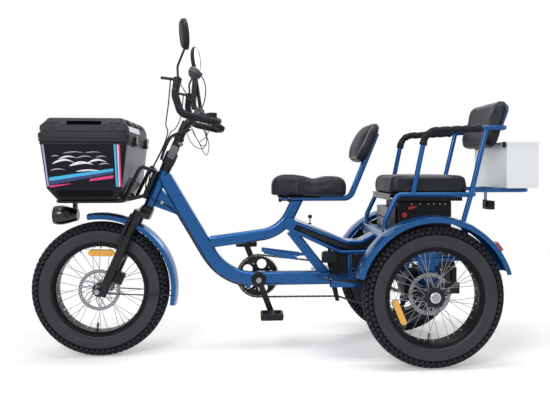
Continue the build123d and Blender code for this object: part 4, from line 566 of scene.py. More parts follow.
def screws(name: str, heads: Sequence[Screw], finish: "Finish", body: str) -> None:
    """Set socket-head screws at their places, made with Geometry Nodes.

    Args:
        name: Object name.
        heads: The screws.
        finish: Their finish.
        body: Body that carries them.
    """
    item = Shell().lathe([(-0.3, 1.0), (0.45, 1.0), (0.62, 0.86), (0.62, 0.5), (0.25, 0.44), (0.25, 0.02)],
                         ORIGIN, UPWARD, 12).build("screw_head", finish)
    for vertex in item.data.vertices:
        vertex.co /= MM
    host = bpy.data.meshes.new(name)
    host.from_pydata([Vector(head.place) * MM for head in heads], [], [])
    aim = host.attributes.new("aim", "FLOAT_VECTOR", "POINT")
    aim.data.foreach_set("vector", [value for head in heads for value in head.aim])
    size = host.attributes.new("size", "FLOAT", "POINT")
    size.data.foreach_set("value", [head.radius * MM for head in heads])
    ride(Repeat(Layout.POINTS).make(name, item, finish, host), body)


def tint_faces(node: bpy.types.Object, finishes: Sequence["Finish"], rule: Callable[[Vector, Vector], int]) -> None:
    """Give a construction piece several finishes by the place of its faces.

    Args:
        node: The construction piece.
        finishes: Finishes by number.
        rule: Function of a face's centre in millimetres and its normal that returns a finish number.
    """
    node.data.materials.clear()
    for finish in finishes:
        node.data.materials.append(finish.material())
    for face in node.data.polygons:
        face.material_index = rule(face.center / MM, face.normal)


def hose(name: str, radius: float, points: Sequence[Sequence[float]]) -> bpy.types.Object:
    """Draw a cable on one smooth NURBS line and make it a mesh.

    Args:
        name: Object name.
        radius: Radius of the cable in millimetres.
        points: Control points in millimetres.

    Returns:
        The cable.
    """
    curve = bpy.data.curves.new(name, "CURVE")
    curve.dimensions = "3D"
    curve.bevel_depth = radius * MM
    curve.bevel_resolution = 3
    curve.resolution_u = 8
    curve.use_fill_caps = True
    spline = curve.splines.new("NURBS")
    spline.points.add(len(points) - 1)
    for point, place in zip(spline.points, points):
        point.co = (*(Vector(place) * MM), 1)
    spline.order_u = 3
    spline.use_endpoint_u = True
    curve.materials.append(CABLE_BLACK.material())
    drawn = linked(name, curve)
    mesh = shaped(drawn)
    bpy.data.objects.remove(drawn)
    return linked(name, mesh)


# ---- Finishes ---------------------------------------------------------------------------------
class Pattern(Enum):
    """Surface pattern that a finish carries."""

    PLAIN = "plain"
    FLAKE = "flake"
    GRAIN = "grain"
    FOAM = "foam"
    BRUSHED = "brushed"
    MOULDED = "moulded"
    CAST = "cast"


@dataclass(frozen=True)
class Finish:
    """One real finish: what the surface is, its colours, gloss and fine pattern.

    Attributes:
        name: Common name of the material and how it was finished.
        colour: Main colour as sRGB hex.
        shade: Second colour that the pattern mixes in.
        roughness: Base roughness.
        metallic: 1 for bare or flaked metal.
        coat: Weight of a clear coat.
        sheen: Weight of a soft fibre or rubber sheen.
        pattern: Kind of fine pattern.
        pitch_mm: Real size of the pattern.
        depth_mm: Height of its relief.
        transmission: Share of light that passes through, for lenses.
        specular: Strength of the plain surface gloss; pigmented rubbers and vinyls have little.
    """

    name: str
    colour: str
    shade: str
    roughness: float
    metallic: float = 0.0
    coat: float = 0.0
    sheen: float = 0.0
    pattern: Pattern = Pattern.PLAIN
    pitch_mm: float = 1.0
    depth_mm: float = 0.05
    transmission: float = 0.0
    specular: float = 0.5

    def material(self) -> bpy.types.Material:
        """Return this finish's material, made on first use."""
        known = bpy.data.materials.get(self.name)
        if known:
            return known
        material = bpy.data.materials.new(self.name)
        tree = fresh_tree(material)
        shader = add_node(tree, "ShaderNodeBsdfPrincipled", inputs={
            "Metallic": self.metallic, "Coat Weight": self.coat, "Coat Roughness": 0.06,
            "Sheen Weight": self.sheen, "Transmission Weight": self.transmission,
            "Specular IOR Level": self.specular})
        output = add_node(tree, "ShaderNodeOutputMaterial", inputs={"Surface": shader.outputs[0]})
        output.is_active_output = True
        place = add_node(tree, "ShaderNodeTexCoord").outputs["Object"]
        self._dress(tree, shader, place)
        return material

    def _fine(self, tree: bpy.types.NodeTree, place: bpy.types.NodeSocket) -> bpy.types.NodeSocket:
        """Height signal of the fine pattern, 0 to 1."""
        scale = 1 / (self.pitch_mm * MM)
        if self.pattern in (Pattern.GRAIN, Pattern.CAST, Pattern.FLAKE):
            cells = add_node(tree, "ShaderNodeTexVoronoi", {"feature": "F1"},
                             {"Vector": place, "Scale": scale})
            return cells.outputs["Distance"]
        if self.pattern is Pattern.BRUSHED:
            stretched = add_node(tree, "ShaderNodeMapping", inputs={"Vector": place, "Scale": (0.03, 1, 1)})
            lines = add_node(tree, "ShaderNodeTexNoise",
                             inputs={"Vector": stretched.outputs[0], "Scale": scale, "Detail": 2.0})
            return lines.outputs["Fac"]
        noise = add_node(tree, "ShaderNodeTexNoise", inputs={"Vector": place, "Scale": scale, "Detail": 3.0})
        return noise.outputs["Fac"]

    def _dress(self, tree: bpy.types.NodeTree, shader: bpy.types.Node, place: bpy.types.NodeSocket) -> None:
        """Link colour, roughness and relief into the shader.

        Args:
            tree: The material's node tree.
            shader: Its Principled shader.
            place: Object coordinates.
        """
        fine = self._fine(tree, place)
        broad = add_node(tree, "ShaderNodeTexNoise", inputs={"Vector": place, "Scale": 9.0, "Detail": 4.0})
        blend = add_node(tree, "ShaderNodeMix", {"data_type": "RGBA"})
        blend.inputs["A"].default_value = linear(self.colour)
        blend.inputs["B"].default_value = linear(self.shade)
        tree.links.new(fine if self.pattern in (Pattern.FLAKE, Pattern.GRAIN) else broad.outputs["Fac"],
                       blend.inputs["Factor"])
        tree.links.new(blend.outputs["Result"], shader.inputs["Base Color"])
        gloss = add_node(tree, "ShaderNodeMapRange", inputs={
            "Value": broad.outputs["Fac"], "To Min": max(self.roughness - 0.07, 0.02),
            "To Max": min(self.roughness + 0.09, 1.0)})
        tree.links.new(gloss.outputs[0], shader.inputs["Roughness"])
        if self.pattern is not Pattern.PLAIN:
            relief = add_node(tree, "ShaderNodeBump", inputs={
                "Strength": 0.5, "Distance": self.depth_mm * MM, "Height": fine})
            tree.links.new(relief.outputs[0], shader.inputs["Normal"])


# Candy lacquer: a clear coat over blue metal flake, deep and bright at once.
CANDY_BLUE = Finish("candy_blue_lacquer", "#064680", "#0a5896", 0.25, metallic=0.62, coat=0.35, specular=0.3,
                    pattern=Pattern.FLAKE, pitch_mm=0.6, depth_mm=0.002)
# Powder coat on steel and alloy: satin black with a faint orange peel.
POWDER_BLACK = Finish("powder_coated_black", "#0f1014", "#191a1f", 0.34, coat=0.12, specular=0.22,
                      pattern=Pattern.MOULDED, pitch_mm=1.6, depth_mm=0.02)
# Anodised aluminium: even satin black metal.
ANODISED_BLACK = Finish("anodised_black_aluminium", "#141519", "#1f2025", 0.3, metallic=0.4, specular=0.3,
                        pattern=Pattern.MOULDED, pitch_mm=0.8, depth_mm=0.006)
# Grey anodise: the bar clamp and the controller's face.
ANODISED_GREY = Finish("anodised_grey_aluminium", "#5a5c62", "#6b6d74", 0.34, metallic=0.7,
                       pattern=Pattern.BRUSHED, pitch_mm=0.4, depth_mm=0.005)
# Polished alloy: bright hub shells and crown parts.
POLISHED_ALLOY = Finish("polished_aluminium", "#c9cbce", "#aeb1b5", 0.22, metallic=1.0,
                        pattern=Pattern.BRUSHED, pitch_mm=0.4, depth_mm=0.005)
# Ground stainless steel: discs, axles and spokes.
STAINLESS = Finish("ground_stainless_steel", "#a9abb0", "#85878d", 0.3, metallic=1.0,
                   pattern=Pattern.BRUSHED, pitch_mm=0.3, depth_mm=0.004)
# Phosphated steel chain: dark grey with a dry sheen.
CHAIN_STEEL = Finish("phosphated_chain_steel", "#3b3b3e", "#59595c", 0.38, metallic=0.9,
                     pattern=Pattern.CAST, pitch_mm=0.8, depth_mm=0.01)
# Bare mill-finish sheet: pale, soft reflections.
MILL_SHEET = Finish("mill_finish_aluminium_sheet", "#f2f4f6", "#e4e7ea", 0.4, metallic=0.45,
                    pattern=Pattern.BRUSHED, pitch_mm=0.5, depth_mm=0.004)
# Tyre compound: dull black that greys on the lugs.
TYRE_COMPOUND = Finish("tyre_compound", "#232429", "#303138", 0.74, sheen=0.04, specular=0.2,
                       pattern=Pattern.CAST, pitch_mm=1.2, depth_mm=0.05)
# Side of the tyre: smoother and greyer than the tread.
TYRE_SIDE = Finish("tyre_sidewall", "#26272e", "#303138", 0.5, specular=0.35,
                   pattern=Pattern.MOULDED, pitch_mm=1.6, depth_mm=0.03)
# Painted shade in the gaps of the tread: the casing between the lugs, darker than the rubber itself.
TYRE_GAP_SHADE = Finish("tyre_gap_painted_shade", "#0c0c0f", "#131317", 0.85, specular=0.1,
                   pattern=Pattern.CAST, pitch_mm=1.2, depth_mm=0.05)
# Baked enamel on the rims.
RIM_ENAMEL = Finish("black_enamelled_rim", "#0a0b0e", "#111216", 0.3, specular=0.14,
                    pattern=Pattern.MOULDED, pitch_mm=1.6, depth_mm=0.01)
# Closed-cell foam sleeve: soft, open-pored black.
FOAM_SLEEVE = Finish("nitrile_foam", "#101116", "#1c1d24", 0.66, sheen=0.06, specular=0.2,
                     pattern=Pattern.FOAM, pitch_mm=0.9, depth_mm=0.12)
# Upholstery vinyl: grained, slightly glossy.
UPHOLSTERY = Finish("grained_upholstery_vinyl", "#14161d", "#20232b", 0.5, specular=0.24,
                    pattern=Pattern.GRAIN, pitch_mm=1.4, depth_mm=0.09)
# Welt cord in grey vinyl round the rider's rest.
PIPING = Finish("grey_vinyl_welt", "#77787c", "#8b8c90", 0.5, sheen=0.1,
                pattern=Pattern.GRAIN, pitch_mm=0.9, depth_mm=0.05)
# Sewn edge, a shade darker than its cover.
SEAM = Finish("black_vinyl_seam", "#0d0d10", "#141418", 0.55, specular=0.2,
              pattern=Pattern.GRAIN, pitch_mm=0.9, depth_mm=0.05)
# Moulded ABS: charcoal box shell with a fine spark texture.
MOULDED_ABS = Finish("moulded_charcoal_abs", "#1c1e24", "#282a31", 0.5, specular=0.25,
                     pattern=Pattern.MOULDED, pitch_mm=0.7, depth_mm=0.03)
# The box's lower walls, smooth and near black.
SMOOTH_ABS = Finish("smooth_black_abs", "#0b0c11", "#14161c", 0.3, specular=0.15,
                    pattern=Pattern.MOULDED, pitch_mm=2.4, depth_mm=0.02)
# Light grey ABS panel on the box's rear wall.
GREY_ABS = Finish("grey_abs_panel", "#7a7b81", "#86878d", 0.45, specular=0.3,
                  pattern=Pattern.MOULDED, pitch_mm=0.9, depth_mm=0.03)
# Black nylon: covers, switches and pedals.
BLACK_NYLON = Finish("moulded_black_nylon", "#121318", "#1d1e24", 0.5, specular=0.25,
                     pattern=Pattern.MOULDED, pitch_mm=0.6, depth_mm=0.03)
# Glossy lamp housing.
LAMP_BLACK = Finish("gloss_black_housing", "#0b0c10", "#15161b", 0.18, coat=0.4, specular=0.3)
# Toughened clear cover over a lamp or a gauge.
CLEAR_LENS = Finish("clear_polycarbonate", "#e8eef2", "#dfe6ea", 0.06, transmission=0.85)
# Gauge face behind its cover: dark grey with a soft gloss.
GAUGE_FACE = Finish("gauge_cover_glass", "#3a3c41", "#494b51", 0.1, coat=0.8)
# Grey moulded bowl of the gauge.
GAUGE_SHELL = Finish("grey_moulded_gauge_shell", "#43454d", "#4e5059", 0.42, specular=0.4,
                     pattern=Pattern.MOULDED, pitch_mm=0.7, depth_mm=0.02)
# Silvered mirror glass.
MIRROR_GLASS = Finish("silvered_mirror_glass", "#9da1a8", "#959aa1", 0.05, metallic=1.0)
# Red acrylic lens.
RED_LENS = Finish("red_acrylic_lens", "#a51414", "#c92222", 0.12, coat=0.8)
# Red nylon knob and key lever.
RED_NYLON = Finish("moulded_red_nylon", "#d3372c", "#e04a3a", 0.4, pattern=Pattern.MOULDED, pitch_mm=0.8, depth_mm=0.02)
# Amber prismatic reflector.
AMBER = Finish("amber_reflector", "#f0a01c", "#ffc548", 0.22, coat=0.8)
# Cable outer.
CABLE_BLACK = Finish("black_cable_outer", "#0e0f12", "#17181c", 0.42, specular=0.25)
# Cut vinyl film, thin and smooth.
FILM_CYAN = Finish("cyan_vinyl_film", "#2fa9dc", "#3bb4e4", 0.3, coat=0.3)
FILM_NAVY = Finish("navy_vinyl_film", "#1d2c63", "#263670", 0.3, coat=0.3)
FILM_MAGENTA = Finish("magenta_vinyl_film", "#d0256f", "#dc3a80", 0.3, coat=0.3)
FILM_PALE = Finish("pale_vinyl_film", "#dcdeea", "#e9eaf2", 0.32, coat=0.3)
FILM_LAVENDER = Finish("lavender_vinyl_film", "#969cc4", "#a4a9cf", 0.34, coat=0.3)
FILM_GREY = Finish("grey_vinyl_film", "#8f93a0", "#a6aab5", 0.34, coat=0.3)
# Painted shade: a near-black finish that stands in for the shadow inside a drilled hole, a slot or a recess.
PAINTED_SHADE = Finish("painted_recess_shade", "#08080a", "#0e0e10", 0.8, specular=0.1)

# Finish of each construction piece.
NODE_FINISHES: dict[str, Finish] = {node: finish for finish, nodes in (
    (FOAM_SLEEVE, "arm_sleeves bar_grips"),
    (POWDER_BLACK, "axle_housing beam_inserts brake_levers fork front_rack handlebar stem"),
    (BLACK_NYLON, "bar_controls battery_box foot_decks junction_box mirrors pedal_left pedal_right"),
    (RED_NYLON, "battery_switch"),
    (MOULDED_ABS, "cargo_box cargo_lid"),
    (CHAIN_STEEL, "chain"),
    (CANDY_BLUE, "chain_guard front_fender main_frame passenger_seat_frame rear_fenders rear_frame rear_rack "
                 "saddle_rail"),
    (ANODISED_BLACK, "chain_tensioner crankset front_caliper rear_calipers seat_base"),
    (ANODISED_GREY, "controller_box"),
    (CABLE_BLACK, "frame_cables steering_cables"),
    (STAINLESS, "front_axle front_hub rear_axle rear_left_hub rear_right_hub rear_sprockets"),
    (RIM_ENAMEL, "front_rim rear_left_rim rear_right_rim"),
    (TYRE_COMPOUND, "front_tyre rear_left_tyre rear_right_tyre"),
    (LAMP_BLACK, "headlight"),
    (CLEAR_LENS, "headlight_lens"),
    (UPHOLSTERY, "passenger_backrest passenger_cushion rider_backrest saddle"),
    (MILL_SHEET, "rear_bin"),
    (RED_LENS, "rear_lights"),
) for node in nodes.split()}


# ---- Studio -----------------------------------------------------------------------------------
@dataclass
class Studio:
    """Pale floor, soft lights and the camera.

    Attributes:
        eye: Place of the camera in metres.
        yaw: Its heading, turned from the -Y axis, in radians.
        pitch: Its rise, in radians.
        lens_mm: Its focal length.
        shift: Shift of its frame, sideways and up.
        aim: Where the lamps point, in metres.
        fade: Distances from the origin between which the floor fades to plain white, in metres.
    """

    eye: Vector = field(default_factory=lambda: Vector((0.1728, 2.8804, 0.8169)))
    yaw: float = -0.0855
    pitch: float = -0.0232
    lens_mm: float = 41.84
    shift: tuple[float, float] = (-0.0457, -0.0273)
    aim: tuple[float, float, float] = (0, 0, 0.5)
    fade: tuple[float, float] = (1.2, 2.4)

    def camera(self) -> None:
        """Place the camera by its heading and make it the scene's."""
        forward = Vector((math.sin(self.yaw) * math.cos(self.pitch), -math.cos(self.yaw) * math.cos(self.pitch),
                          math.sin(self.pitch)))
        right = Vector((-math.cos(self.yaw), -math.sin(self.yaw), 0))
        up = right.cross(forward)
        data = bpy.data.cameras.new("view")
        data.lens = self.lens_mm
        data.shift_x, data.shift_y = self.shift
        camera = linked("view", data)
        camera.matrix_world = Matrix.Translation(self.eye) @ Matrix((right, up, -forward)).transposed().to_4x4()
        bpy.context.scene.camera = camera

    def seen(self, tree: bpy.types.NodeTree, *rays: str) -> bpy.types.NodeSocket:
        """Socket that is 1 for any of the named kinds of ray."""
        path = add_node(tree, "ShaderNodeLightPath").outputs
        share = path[rays[0]]
        for ray in rays[1:]:
            share = add_node(tree, "ShaderNodeMath", {"operation": "MAXIMUM"}, {0: share, 1: path[ray]}).outputs[0]
        return share

    def floor(self) -> None:
        """Lay a pale floor that keeps the shadow and reads as white to the eye."""
        bpy.ops.mesh.primitive_plane_add(size=24, location=(0, 0, 0))
        plane = bpy.context.object
        plane.name = "floor"
        material = bpy.data.materials.new("matt_white_floor")
        tree = fresh_tree(material)
        matt = add_node(tree, "ShaderNodeBsdfDiffuse", inputs={"Color": linear("#f4f4f5")})
        lift = add_node(tree, "ShaderNodeEmission", inputs={"Color": linear("#ffffff"), "Strength": 0.3})
        seen = self.seen(tree, "Is Camera Ray", "Is Glossy Ray")
        both = add_node(tree, "ShaderNodeAddShader", inputs={0: matt.outputs[0], 1: lift.outputs[0]})
        place = add_node(tree, "ShaderNodeTexCoord").outputs["Object"]
        reach = add_node(tree, "ShaderNodeVectorMath", {"operation": "LENGTH"}, {0: place})
        fade = add_node(tree, "ShaderNodeMapRange", {"interpolation_type": "SMOOTHSTEP"},
                        {"Value": reach.outputs["Value"], "From Min": self.fade[0], "From Max": self.fade[1]})
        white = add_node(tree, "ShaderNodeEmission", inputs={"Color": linear("#ffffff"), "Strength": 1.0})
        spread = add_node(tree, "ShaderNodeMixShader", inputs={"Fac": fade.outputs[0], 1: both.outputs[0],
                                                              2: white.outputs[0]})
        mix = add_node(tree, "ShaderNodeMixShader",
                       inputs={"Fac": seen, 1: matt.outputs[0], 2: spread.outputs[0]})
        add_node(tree, "ShaderNodeOutputMaterial", inputs={"Surface": mix.outputs[0]})
        plane.data.materials.append(material)

    def world(self) -> None:
        """Even dome that shows white where the eye or a reflection meets it."""
        world = bpy.data.worlds.new("dome")
        bpy.context.scene.world = world
        tree = fresh_tree(world)
        through = self.seen(tree, "Is Camera Ray", "Is Glossy Ray", "Is Transmission Ray")
        soft = add_node(tree, "ShaderNodeBackground", inputs={"Color": linear("#ffffff"), "Strength": 0.38})
        white = add_node(tree, "ShaderNodeBackground", inputs={"Color": linear("#ffffff"), "Strength": 1.0})
        mix = add_node(tree, "ShaderNodeMixShader",
                       inputs={"Fac": through, 1: soft.outputs[0], 2: white.outputs[0]})
        add_node(tree, "ShaderNodeOutputWorld", inputs={"Surface": mix.outputs[0]})

    def lamps(self) -> None:
        """Three soft boxes: a wide one overhead, a key from the front left and a rim from behind."""
        boxes = (("overhead", (0.0, 0.5, 3.2), (3.0, 0.8), 50), ("key", (1.5, 3.2, 2.5), (1.3, 1.3), 62),
                 ("rim", (-1.6, -2.6, 2.4), (1.6, 1.6), 26))
        for name, place, size, watts in boxes:
            data = bpy.data.lights.new(name, "AREA")
            data.shape = "RECTANGLE"
            data.size, data.size_y = size
            data.energy = watts
            lamp = linked(name, data)
            lamp.location = place
            lamp.rotation_euler = (Vector(self.aim) - Vector(place)).to_track_quat("-Z", "Y").to_euler()

    def build(self) -> None:
        """Set up the whole studio."""
        bpy.context.scene.view_settings.view_transform = "Standard"
        self.camera()
        self.floor()
        self.world()
        self.lamps()


# ---- Wheels -----------------------------------------------------------------------------------
@dataclass
class Wheel:
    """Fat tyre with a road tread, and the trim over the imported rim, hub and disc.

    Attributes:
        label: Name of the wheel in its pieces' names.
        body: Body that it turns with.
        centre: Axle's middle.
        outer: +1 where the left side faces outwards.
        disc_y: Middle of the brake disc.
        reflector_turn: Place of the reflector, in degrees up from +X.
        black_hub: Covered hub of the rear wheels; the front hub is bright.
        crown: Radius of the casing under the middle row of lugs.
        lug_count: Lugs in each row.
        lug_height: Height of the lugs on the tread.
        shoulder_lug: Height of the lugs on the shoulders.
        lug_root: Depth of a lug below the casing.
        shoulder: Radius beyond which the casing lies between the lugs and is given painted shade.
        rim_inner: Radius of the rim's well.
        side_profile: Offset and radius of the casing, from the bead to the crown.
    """

    label: str
    body: str
    centre: Vector
    outer: float
    disc_y: float
    reflector_turn: float
    black_hub: bool = True
    crown: float = 291.4
    lug_count: int = 72
    lug_height: float = 4.6
    shoulder_lug: float = 2.4
    lug_root: float = 2.2
    shoulder: float = 259.0
    rim_inner: float = 188.0
    side_profile: tuple[tuple[float, float], ...] = (
        (36, 203), (39.5, 207), (42.5, 212.5), (45, 215), (45.2, 218), (44.8, 220), (47, 226), (48.7, 236),
        (48.9, 246), (47.8, 257), (44.6, 268), (39.5, 276.5), (33, 283), (25, 287.6), (14, 290.6), (5, 291.4))

    def turned(self, angle: float, radius: float, y: float) -> Vector:
        """Point at an angle up from +X, a radius and a side offset from the wheel's middle."""
        return self.centre + Vector((math.cos(math.radians(angle)) * radius, y,
                                     math.sin(math.radians(angle)) * radius))

    def tyre(self) -> None:
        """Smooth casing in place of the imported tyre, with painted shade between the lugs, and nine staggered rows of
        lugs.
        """
        outline = [(-y, r) for y, r in self.side_profile] + [(y, r) for y, r in reversed(self.side_profile)]
        casing = Shell().lathe(outline, self.centre, sides=120, loop=True).build(
            f"{self.label}_casing", TYRE_SIDE)
        # Casing faces beyond the shoulder take painted shade, darker than the sidewall, where the lugs shade the gaps.
        tint_faces(casing, (TYRE_SIDE, TYRE_GAP_SHADE), lambda place, normal: int(
            math.hypot(place.x - self.centre.x, place.z - self.centre.z) > self.shoulder))
        ride(casing, self.body)
        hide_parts(f"{self.label}_tyre")
        rows = [(0, self.crown, 0, 19, 12, 0.0)]
        rows += [(side * y, radius, side * tilt, *rest) for y, radius, tilt, *rest in (
            (16, 290.2, 7, 18, 13, 0.5), (32.5, 283.4, 34, 17, 15, 0.0), (44.2, 269.5, 66, 13.5, 15, 0.5),
            (41.6, 274.4, 58, 9, 7, 0.0)) for side in (1, -1)]
        for index, (y, radius, tilt, length, width, share) in enumerate(rows):
            outline = [(-length / 2, -width / 2 + 2), (length / 2 - 3, -width / 2), (length / 2, -width / 2 + 3),
                       (length / 2, width / 2 - 2), (-length / 2 + 3, width / 2), (-length / 2, width / 2 - 3)]
            place = Matrix.Rotation(-math.radians(tilt), 4, "X") @ Matrix.Translation((0, 0, -self.lug_root))
            height = (self.shoulder_lug if abs(tilt) > 50 else self.lug_height) + self.lug_root
            item = Shell().plate(outline, place, height, 1.1).build("lug", TYRE_COMPOUND, angle=50)
            ring_of(f"{self.label}_tread_{index}", item, TYRE_COMPOUND, self.body,
                    self.centre + LEFTWARD * y, radius, self.lug_count, share)

    def rim_trim(self) -> None:
        """Spoke nipples, tyre valve and reflector."""
        for index, y in enumerate((-7, 7)):
            item = Shell().lathe([(-9, 1.6), (-8, 2.2), (-1, 2.4), (1, 3.0), (2, 3.0)], ORIGIN, UPWARD, 8)
            ring_of(f"{self.label}_nipples_{index}", item.build("nipple", STAINLESS), STAINLESS, self.body,
                    self.centre + LEFTWARD * y, self.rim_inner, 18, index / 2)
        foot = self.turned(-84, self.rim_inner + 1, 0)
        inward = (self.centre - foot).normalized()
        valve = Shell().lathe([(-1, 6), (2, 6), (4, 4), (14, 3.6), (15, 3.0), (17, 4.1), (32, 4.1), (34, 3)], foot,
                              inward, 14)
        valve.put(f"{self.label}_valve", self.body, "black_plastic", BLACK_NYLON)
        seat = self.turned(self.reflector_turn, 157, self.outer * 13)
        radial = self.turned(self.reflector_turn, 1, 0) - self.centre
        place = frame_at(seat, (0, self.outer, 0), radial.cross(LEFTWARD))
        lens = [(-57, -4), (-48, -13), (48, -13), (57, -4), (57, 4), (48, 13), (-48, 13), (-57, 4)]
        shell = Shell().plate(lens, place, 6, 1.6)
        shell.plate([(x * 0.96, z * 1.12) for x, z in lens], place @ Matrix.Translation((0, 0, -8)), 9, 1.2, tint=1)
        for along in (-42, -14, 14, 42):
            shell.plate(rounded(1.4, 21, 0.6, 2), place @ Matrix.Translation((along, 0, 5.2)), 1.3, 0.4)
        shell.put(f"{self.label}_reflector", self.body, "red_lens", AMBER, BLACK_NYLON)

    def disc(self) -> None:
        """Painted shade in the disc's drillings, as near-black discs, the disc's arms and carrier, and the screws that
        hold it to the hub.
        """
        middle = Vector((self.centre.x, self.disc_y, self.centre.z))
        # Each drilling is a thin near-black disc on the face: painted shade that stands in for the hole.
        for index, (radius, share) in enumerate(((85.5, 0.0), (79, 0.5))):
            item = Shell().lathe([(-1.3, 0.2), (-1.25, 2.6), (1.25, 2.6), (1.3, 0.2)], ORIGIN, sides=10)
            ring_of(f"{self.label}_disc_drillings_{index}", item.build("drilling", PAINTED_SHADE), PAINTED_SHADE, self.body,
                    middle, radius, 36, share)
        side = 1 if self.disc_y > self.centre.y else -1
        heads = [Screw(tuple(middle + Vector((math.cos(turn) * 26, side, math.sin(turn) * 26))), (0, side, 0), 4.2)
                 for turn in (math.tau * k / 6 for k in range(6))]
        screws(f"{self.label}_disc_screws", heads, POLISHED_ALLOY, self.body)
        place = frame_at((self.centre.x, self.disc_y - side, self.centre.z), (0, side, 0), (1, 0, 0))
        arms = Shell()
        for k in range(6):
            edges = [[Vector((math.cos(turn), math.sin(turn))) * radius for radius, turn in (
                (r, math.tau * k / 6 + side * math.radians(lead + (r - 24) * 0.62 + wide * 150 / r)) for r in
                (24, 34, 44, 54, 64, 75.5))] for lead, wide in ((0, -1), (0, 1))]
            outline = edges[0] + edges[1][::-1] if side < 0 else edges[1][::-1] + edges[0]
            arms.rings([[place @ Vector((p.x, p.y, height)) for p in anticlockwise(outline)]
                        for height in (0.0, 2.0)])
        arms.put(f"{self.label}_disc_arms", self.body, "steel", STAINLESS)
        Shell().lathe([(-3, 14), (-3, 31), (2.2, 31), (2.6, 29), (2.6, 14)], middle, Vector((0, side, 0)), 36,
                      loop=True).put(f"{self.label}_disc_carrier", self.body, "black_metal", ANODISED_BLACK)

    def hub(self, node: bpy.types.Object) -> None:
        """Cover the hub, cap its outer end and give spokes and disc their own metal.

        Args:
            node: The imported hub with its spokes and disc.
        """
        shade = POWDER_BLACK if self.black_hub else POLISHED_ALLOY
        outward = Vector((0, self.outer, 0))

        def rule(place: Vector, normal: Vector) -> int:
            """Barrel and flanges take the hub's finish, spokes and disc stay steel."""
            radius = math.hypot(place.x - self.centre.x, place.z - self.centre.z)
            near_disc = abs(place.y - self.disc_y) < 2.5
            return 1 if radius < 35.5 and not (near_disc and radius > 20.5) else 0

        tint_faces(node, (STAINLESS, shade), rule)
        if self.black_hub:
            profile = [(-31, 22), (-31, 36), (-28, 39), (-24, 38), (-18, 28), (16, 28), (22, 37), (27, 41), (32, 41.5),
                       (35, 39), (36.5, 33), (37, 20)]
            cover = Shell().lathe(profile, self.centre, outward, 56)
            cover.put(f"{self.label}_hub_shell", self.body, "black_metal", shade)
            cap = Shell().lathe([(36, 15.6), (37, 22.5), (40, 22.5), (42, 20.5), (42.6, 16), (42.2, 15.4)],
                                self.centre, outward, 40)
            cap.put(f"{self.label}_hub_cap", self.body, "alloy", POLISHED_ALLOY)
        else:
            profile = [(-26, 20.4), (-25, 27), (-20, 24), (-12, 21.6), (12, 21.6), (20, 24), (25, 27), (26, 20.4)]
            Shell().lathe(profile, self.centre, sides=44).put(f"{self.label}_hub_shell", self.body, "alloy", shade)

    def build(self, node: bpy.types.Object) -> None:
        """Make every piece of the wheel.

        Args:
            node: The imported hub.
        """
        self.tyre()
        self.rim_trim()
        self.disc()
        self.hub(node)


# ---- Soft goods -------------------------------------------------------------------------------
@dataclass
class Pad:
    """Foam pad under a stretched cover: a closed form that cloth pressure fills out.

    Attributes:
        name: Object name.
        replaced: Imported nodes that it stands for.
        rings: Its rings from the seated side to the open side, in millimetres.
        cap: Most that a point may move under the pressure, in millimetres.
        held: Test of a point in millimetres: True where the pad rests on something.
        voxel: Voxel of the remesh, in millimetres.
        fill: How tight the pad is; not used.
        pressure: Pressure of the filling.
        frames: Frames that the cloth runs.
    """

    name: str
    replaced: tuple[str, ...]
    rings: list[Ring]
    cap: float
    held: Callable[[Vector], bool]
    voxel: float = 6.0
    fill: float = 0.7
    pressure: float = 4
    frames: int = 20

    def inflate(self) -> bpy.types.Object:
        """Remesh the form, fill it by cloth pressure and smooth the result."""
        piece = Shell().rings(self.rings).build(self.name, UPHOLSTERY, angle=180)
        grid = piece.modifiers.new("grid", "REMESH")
        grid.mode = "VOXEL"
        grid.voxel_size = self.voxel * MM
        settle(piece)
        self._fill(piece)
        soft = piece.modifiers.new("soften", "SMOOTH")
        soft.factor = 0.5
        soft.iterations = 3
        finer = piece.modifiers.new("finer", "SUBSURF")
        finer.levels = finer.render_levels = 1
        settle(piece)
        piece.data.materials.clear()
        piece.data.materials.append(UPHOLSTERY.material())
        piece.data.shade_smooth()
        return piece

    def _fill(self, piece: bpy.types.Object) -> None:
        """Run the cloth for twenty frames and keep each point within the cap.

        Args:
            piece: The remeshed form.
        """
        rest = [vertex.co.copy() for vertex in piece.data.vertices]
        group = piece.vertex_groups.new(name="seated")
        group.add([index for index, place in enumerate(rest) if self.held(place / MM)], 1.0, "ADD")
        cloth = piece.modifiers.new("cloth", "CLOTH")
        cloth.settings.vertex_group_mass = "seated"
        cloth.settings.use_pressure = True
        cloth.settings.uniform_pressure_force = self.pressure
        cloth.settings.effector_weights.gravity = 0
        cloth.point_cache.frame_start = 1
        cloth.point_cache.frame_end = self.frames
        for frame in range(1, self.frames + 1):
            bpy.context.scene.frame_set(frame)
        graph = bpy.context.evaluated_depsgraph_get()
        filled = [vertex.co.copy() for vertex in piece.evaluated_get(graph).data.vertices]
        piece.modifiers.remove(cloth)
        piece.vertex_groups.clear()
        cap = self.cap * MM
        for vertex, start, end in zip(piece.data.vertices, rest, filled):
            move = end - start
            vertex.co = start + move * min(1.0, cap / max(move.length, 1e-9))
        bpy.context.scene.frame_set(1)

    def build(self, body: str, slot: str = "seat_cover") -> bpy.types.Object:
        """Args:
            body: Body that carries it.
            slot: Material slot of the record; not used.

        Returns:
            The pad.
        """
        piece = ride(self.inflate(), body)
        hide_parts(*self.replaced)
        return piece


def surface(mesh: bpy.types.Mesh) -> BVHTree:
    """Search tree of a mesh's faces."""
    return BVHTree.FromPolygons([vertex.co for vertex in mesh.vertices], [face.vertices[:] for face in mesh.polygons])


